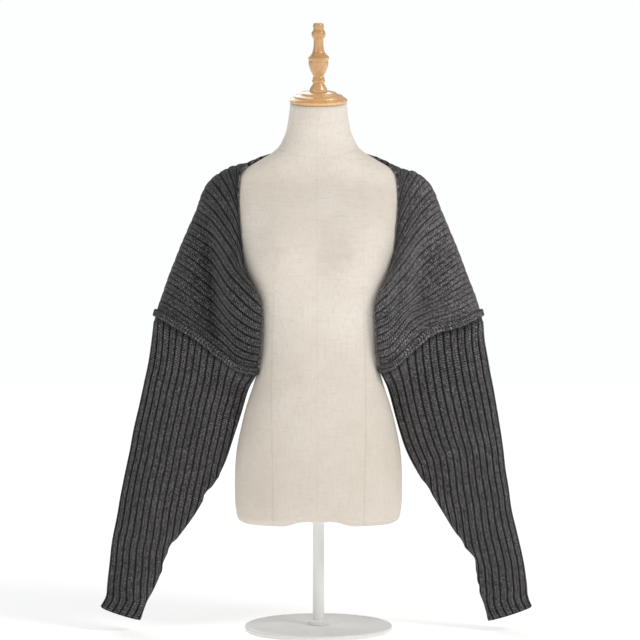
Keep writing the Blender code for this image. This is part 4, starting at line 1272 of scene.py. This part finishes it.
def knit_material(name, kind, tone=1.0):
    """Melange rib knit: chevron stitches in columns, flecked yarn, and painted shade in its narrow
    valleys.
    """
    n = Nodes(name)
    u, v, _ = n.xyz(n.node("UVMap", uv_map="knit").outputs["UV"])
    x, _, _ = n.xyz(n.place)
    wale = n.math("FRACT", n.times(u, WALES_PER_RIB))
    across = n.off(n.times(wale, 2.0), 1.0)
    turn = n.plus(n.math("MULTIPLY_ADD", across, 0.55, v), n.times(n.noise(260.0, 1.0), 0.5))
    # The stitch legs darken where one wale meets the next: painted shade between the wales
    legs = n.times(n.math("MULTIPLY_ADD", n.wave(turn), 0.5, 0.5), n.ramp(across, 1.0, 0.6, WALE_EDGE))
    leg = n.math("FLOOR", n.times(u, 4.0 * WALES_PER_RIB))
    stitch = n.node("CombineXYZ", {"X": leg, "Y": n.math("FLOOR", n.times(turn, 2.0))}).outputs[0]
    spun = n.node("TexWhiteNoise", {"Vector": stitch}, noise_dimensions="2D").outputs["Value"]
    fibre = n.noise(900.0, 2.0, 0.7)
    spark = n.noise(520.0, 2.0, 0.8)
    flecks = {"fibre": fibre, "spark": spark, "pale stitch": spun, "dark stitch": spun}
    colour = n.mix(n.ramp(n.noise(600.0, 3.0, 0.75), 0.42, 0.58), YARN_DARK, YARN_MIDDLE)
    for fleck, (low, high, most, yarn) in FLECKS.items():
        colour = n.mix(n.ramp(flecks[fleck], low, high, 0.0, most), colour, yarn)
    shade = n.times(n.ramp(legs, 0.0, 0.8, 0.50, 1.42), n.ramp(n.noise(22.0), 0.3, 0.7, 0.93, 1.08))
    # Painted shade in the rib valleys: they darken to this share of the yarn's tone
    valley, edge = 0.03, 0.50
    if kind == "seam":
        side = n.off(u, RIDGE_MIDDLE)
        twist = n.plus(n.times(v, STITCH_LENGTH / CURL_PITCH), n.times(side, 0.5))
        strand = n.wave(n.math("MULTIPLY_ADD", n.noise(150.0, 1.0), 0.5, twist))
        # Seam ridge: painted shadow along both its sides, painted shade in the crease down its middle,
        # and painted light on the right-hand ridge
        shade = n.shaded(
            shade,
            (strand, -1.0, 0.6, 0.54, 1.1),
            (side, 0.86, 0.5, 0.12),
            (side, 0.0, 0.14, 0.55),
            (x, -0.22, 0.22, 0.94, 1.35),
        )
    if kind == "body":
        # Body: painted shade in the valleys and between the wales, a painted highlight on the rolled
        # edge with a painted shadow line in the crease behind it, and painted light over the right-hand
        # side
        aside = n.ramp(n.off(x), 0.185, 0.225)
        valley = n.plus(n.ramp(aside, 0.0, 1.0, 0.05, 0.32), n.ramp(x, 0.0, 0.15, 0.0, 0.42))
        edge = n.ramp(aside, 0.0, 1.0, 0.60, 0.74)
        line = n.times(n.ramp(aside, 0.0, 1.0, 0.85, 0.5), n.ramp(x, 0.02, 0.15, 1.0, 0.72))
        shade = n.shaded(
            shade,
            (across, 1.0, 0.72, line),
            (v, 2.9, 2.2, 1.0, 1.4),
            (n.off(v, 3.1), 0.2, 0.8, 0.42),
            (x, -0.22, 0.22, 0.76, 1.42),
        )
    # Painted shade in the rib valleys of the body and sleeves
    if kind != "seam":
        rib = n.off(n.times(n.math("FRACT", u), 2.0), 1.0)
        shade = n.shaded(shade, (rib, 0.97, edge, valley))
    if kind == "sleeve":
        # Sleeves: a painted shadow under the seam ridge along the top, and painted light on the right
        # sleeve
        shade = n.shaded(shade, (v, 0.6, 3.2, 0.45), (x, -0.25, 0.25, 0.99, 1.09))
    normal = n.bump(fibre, 0.0005, 0.6, n.bump(legs, 0.0011, 0.9))
    # The tone, above 1 for the seam ridge, is painted light
    n.set(Base_Color=n.tinted(colour, n.times(shade, tone)), Roughness=0.95, Normal=normal)
    n.set(Sheen_Weight=0.22, Sheen_Roughness=0.45, Sheen_Tint=YARN_SHEEN, Specular_IOR_Level=0.15)
    return n.material


def linen_material():
    """Cream linen: slubbed plain weave, with sewn seams down the middle and over each breast."""
    n = Nodes("cream_linen")
    x, y, z = n.xyz(n.place)
    weft = n.noise(42.0, 3.0, 0.7, n.mapped((1.0, 1.0, 10.0)))
    warp = n.noise(42.0, 3.0, 0.7, n.mapped((10.0, 10.0, 1.0)))
    threads = n.plus(n.wave(n.times(z, 1 / LINEN_THREAD)), n.wave(n.times(x, 1 / LINEN_THREAD)))
    slub = n.plus(n.ramp(weft, 0.48, 0.72, 0.0, 0.9), n.ramp(warp, 0.46, 0.70, 0.0, 0.9))
    colour = n.mix(n.ramp(n.noise(7.0, 3.0), 0.3, 0.75, 0.0, 0.5), LINEN_PALE, LINEN_WARM)
    colour = n.mix(n.times(slub, 0.42), colour, LINEN_WARM)
    # Painted shade: the linen is warmer and darker towards the bottom; it is also drawn warmer towards
    # the neck's top
    colour = n.mix(n.ramp(z, 0.72, 0.30, 0.0, 0.34), colour, LINEN_WARM)
    colour = n.mix(n.ramp(z, 0.86, 0.93, 0.0, 0.16), colour, LINEN_WARM)
    bow = n.math("MULTIPLY_ADD", n.ramp(z, 0.44, 0.72), 0.006, n.ramp(z, 0.2, 0.5, 0.004, 0.0))
    princess = n.ramp(n.off(n.plus(n.off(x), bow), SEAM_X), 0.0034, 0.0002)
    collar_z = n.math("MULTIPLY_ADD", n.times(x, x), 3.0, NECK_SEAM_Z)
    seam = n.times(princess, n.ramp(z, 0.72, 0.50, 0.2, 1.0))
    for other in (
        n.times(n.ramp(n.off(x, MIDDLE_SEAM_X), 0.0016, 0.0002), 0.6),
        n.times(n.ramp(n.off(z, collar_z), 0.003, 0.0002), 0.5),
        n.times(n.ramp(n.off(y), 0.0018, 0.0002), n.ramp(z, 0.86, 0.84)),
    ):
        seam = n.math("MAXIMUM", seam, other)
    colour = n.mix(n.times(seam, 0.15), colour, LINEN_SEAM)
    normal = n.bump(n.times(threads, 0.5), 0.0001, 0.6)
    normal = n.bump(seam, -0.0004, 0.8, n.bump(slub, 0.0003, 0.6, normal))
    n.set(Base_Color=colour, Roughness=0.85, Normal=normal, Sheen_Weight=0.1, Specular_IOR_Level=0.25)
    return n.material


def beech_material():
    """Varnished beech: fine grain along the turned axis, with short darker flecks."""
    n = Nodes("varnished_beech")
    along = n.mapped((1, 1, 0.12), (-NECK_TILT, 0.0, 0.0))
    grain = n.noise(150.0, 4.0, 0.65, along)
    bands = n.noise(34.0, where=along)
    flecks = n.noise(700.0, 1.0, where=n.mapped((1, 1, 0.2)))
    colour = n.mix(n.ramp(bands, 0.3, 0.7), BEECH_PALE, BEECH_WARM)
    colour = n.mix(n.ramp(grain, 0.5, 0.72, 0.0, 0.45), colour, BEECH_GRAIN)
    colour = n.mix(n.ramp(flecks, 0.62, 0.74, 0.0, 0.45), colour, BEECH_FLECK)
    _, _, z = n.xyz(n.place)
    # Painted light and shade: the cap is drawn lighter and the finial above it darker
    colour = n.tinted(colour, n.ramp(z, 1.012, 1.03, 1.08, 0.84))
    n.set(Base_Color=colour, Roughness=n.ramp(grain, 0.3, 0.7, 0.30, 0.40))
    n.set(Normal=n.bump(grain, 0.0003, 0.35), Specular_IOR_Level=0.5)
    n.set(Coat_Weight=0.9, Coat_Roughness=0.1)
    return n.material


def painted_material():
    """White satin paint, with a faint orange-peel and soft scuffs."""
    n = Nodes("white_satin_paint")
    scuff = n.noise(26.0, 4.0, 0.7)
    colour = n.mix(n.ramp(scuff, 0.62, 0.8, 0.0, 0.5), PAINT, PAINT_SCUFFED)
    n.set(Base_Color=colour, Roughness=n.ramp(scuff, 0.35, 0.75, 0.30, 0.48))
    n.set(Normal=n.bump(n.noise(420.0), 0.00008, 0.5), Coat_Weight=0.15)
    return n.material


def floor_material():
    """A pale floor that glows a little, more towards the horizon, so that it runs into the backdrop."""
    n = Nodes("studio_floor")
    n.set(Base_Color=n.mix(n.ramp(n.noise(1.5), 0.3, 0.7, 0.985, 1.0), *FLOOR_TONES), Roughness=0.75)
    away = n.node("VectorMath", {0: n.place}, operation="LENGTH").outputs["Value"]
    glow = n.ramp(away, 0.3, 3.0, FLOOR_NEAR, FLOOR_GLOW)
    n.set(Emission_Color=BACKDROP, Emission_Strength=glow, Specular_IOR_Level=0.0)
    return n.material


def link(name, data):
    obj = bpy.data.objects.new(name, data)
    bpy.context.scene.collection.objects.link(obj)
    return obj


def build_studio():
    scene = bpy.context.scene
    camera = link("camera", bpy.data.cameras.new("camera"))
    camera.location = (CAMERA_TARGET[0], -CAMERA_DISTANCE, CAMERA_TARGET[2])
    camera.rotation_euler = (math.pi / 2, 0.0, 0.0)
    camera.data.lens = CAMERA_LENS
    camera.data.sensor_width = CAMERA_SENSOR
    scene.camera = camera
    scene.view_settings.view_transform = "Standard"
    world = bpy.data.worlds.new("studio")
    world.use_nodes = True
    tree = world.node_tree
    shown = tree.nodes["Background"]
    shown.inputs["Color"].default_value = (*BACKDROP, 1.0)
    shown.inputs["Strength"].default_value = 1.0
    lighting = tree.nodes.new("ShaderNodeBackground")
    lighting.inputs["Strength"].default_value = AMBIENT
    path = tree.nodes.new("ShaderNodeLightPath")
    both = tree.nodes.new("ShaderNodeMixShader")
    tree.links.new(path.outputs["Is Camera Ray"], both.inputs[0])
    tree.links.new(lighting.outputs[0], both.inputs[1])
    tree.links.new(shown.outputs[0], both.inputs[2])
    tree.links.new(both.outputs[0], tree.nodes["World Output"].inputs["Surface"])
    scene.world = world
    for name, place, side, power, colour in LAMPS:
        light = bpy.data.lights.new(name, "AREA")
        light.size, light.energy, light.color = side, power, colour
        lamp = link(name, light)
        lamp.location = place
        aim = Vector(LAMP_TARGET) - Vector(place)
        lamp.rotation_euler = aim.to_track_quat("-Z", "Y").to_euler()
    sun = link("back", bpy.data.lights.new("back", "SUN"))
    sun.data.energy = BACK_LIGHT
    sun.data.angle = BACK_LIGHT_SPREAD
    sun.rotation_euler = BACK_LIGHT_TURN
    mesh = bpy.data.meshes.new("floor")
    corners = [(FLOOR_REACH * x, FLOOR_REACH * y, 0) for x, y in ((-1, -1), (1, -1), (1, 1), (-1, 1))]
    mesh.from_pydata(corners, [], [(0, 1, 2, 3)])
    mesh.materials.append(floor_material())
    floor = link("floor", mesh)


def main():
    build_studio()
    form = tree_of(*form_mesh(COARSE_SIDES, COARSE_SHARES, lambda gap: math.ceil(gap / COARSE_STEP)))
    fine = form_mesh(FINE_SIDES, FINE_SHARES, lambda gap: max(2, round(gap / FINE_STEP)))
    fine_form = tree_of(*fine)
    linen, beech, paint = linen_material(), beech_material(), painted_material()
    torso = add_piece("linen_torso", *fine, None, linen)
    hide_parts("form_torso")
    turned_piece("wood_cap", CAP_PROFILE, beech, "neck_cap")
    turned_piece("wood_finial", FINIAL_PROFILE, beech, "neck_finial")
    for node in ("stand_base", "stand_pole"):
        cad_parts[node].data.materials.clear()
        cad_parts[node].data.materials.append(paint)
    knit = knit_material("rib_knit_body", "body")
    sleeve_knit = knit_material("rib_knit_sleeve", "sleeve")
    curl = knit_material("curled_seam", "seam", RIDGE_PAINTED_LIGHT)
    grid, normals, panel = build_panel(form, fine_form, knit)
    for name, side, rows, folds, straight in (
        ("left", -1, SLEEVE_LEFT, SLEEVE_FOLDS_LEFT, STRAIGHT_LEFT),
        ("right", 1, SLEEVE_RIGHT, SLEEVE_FOLDS_RIGHT, STRAIGHT_RIGHT),
    ):
        loop, across, up = seam_frame(grid, normals, side)
        build_ridge("seam_" + name, loop, across, up, form, fine_form, curl)
        start = loop + across * (2 * SEAM_HALF_WIDTH + GAP + SLEEVE_GAP)
        tabled = [sleeve_ring((side * row[0], row[1], side * row[2], *row[3:])) for row in rows]
        controls = np.array([ring_at(start, np.arange(RING_SAMPLES) / RING_SAMPLES)] + tabled)
        seam_up = carried(up, start)
        name = "sleeve_" + name
        sleeve = build_sleeve(name, controls, seam_up, folds, straight, form, sleeve_knit)


main()
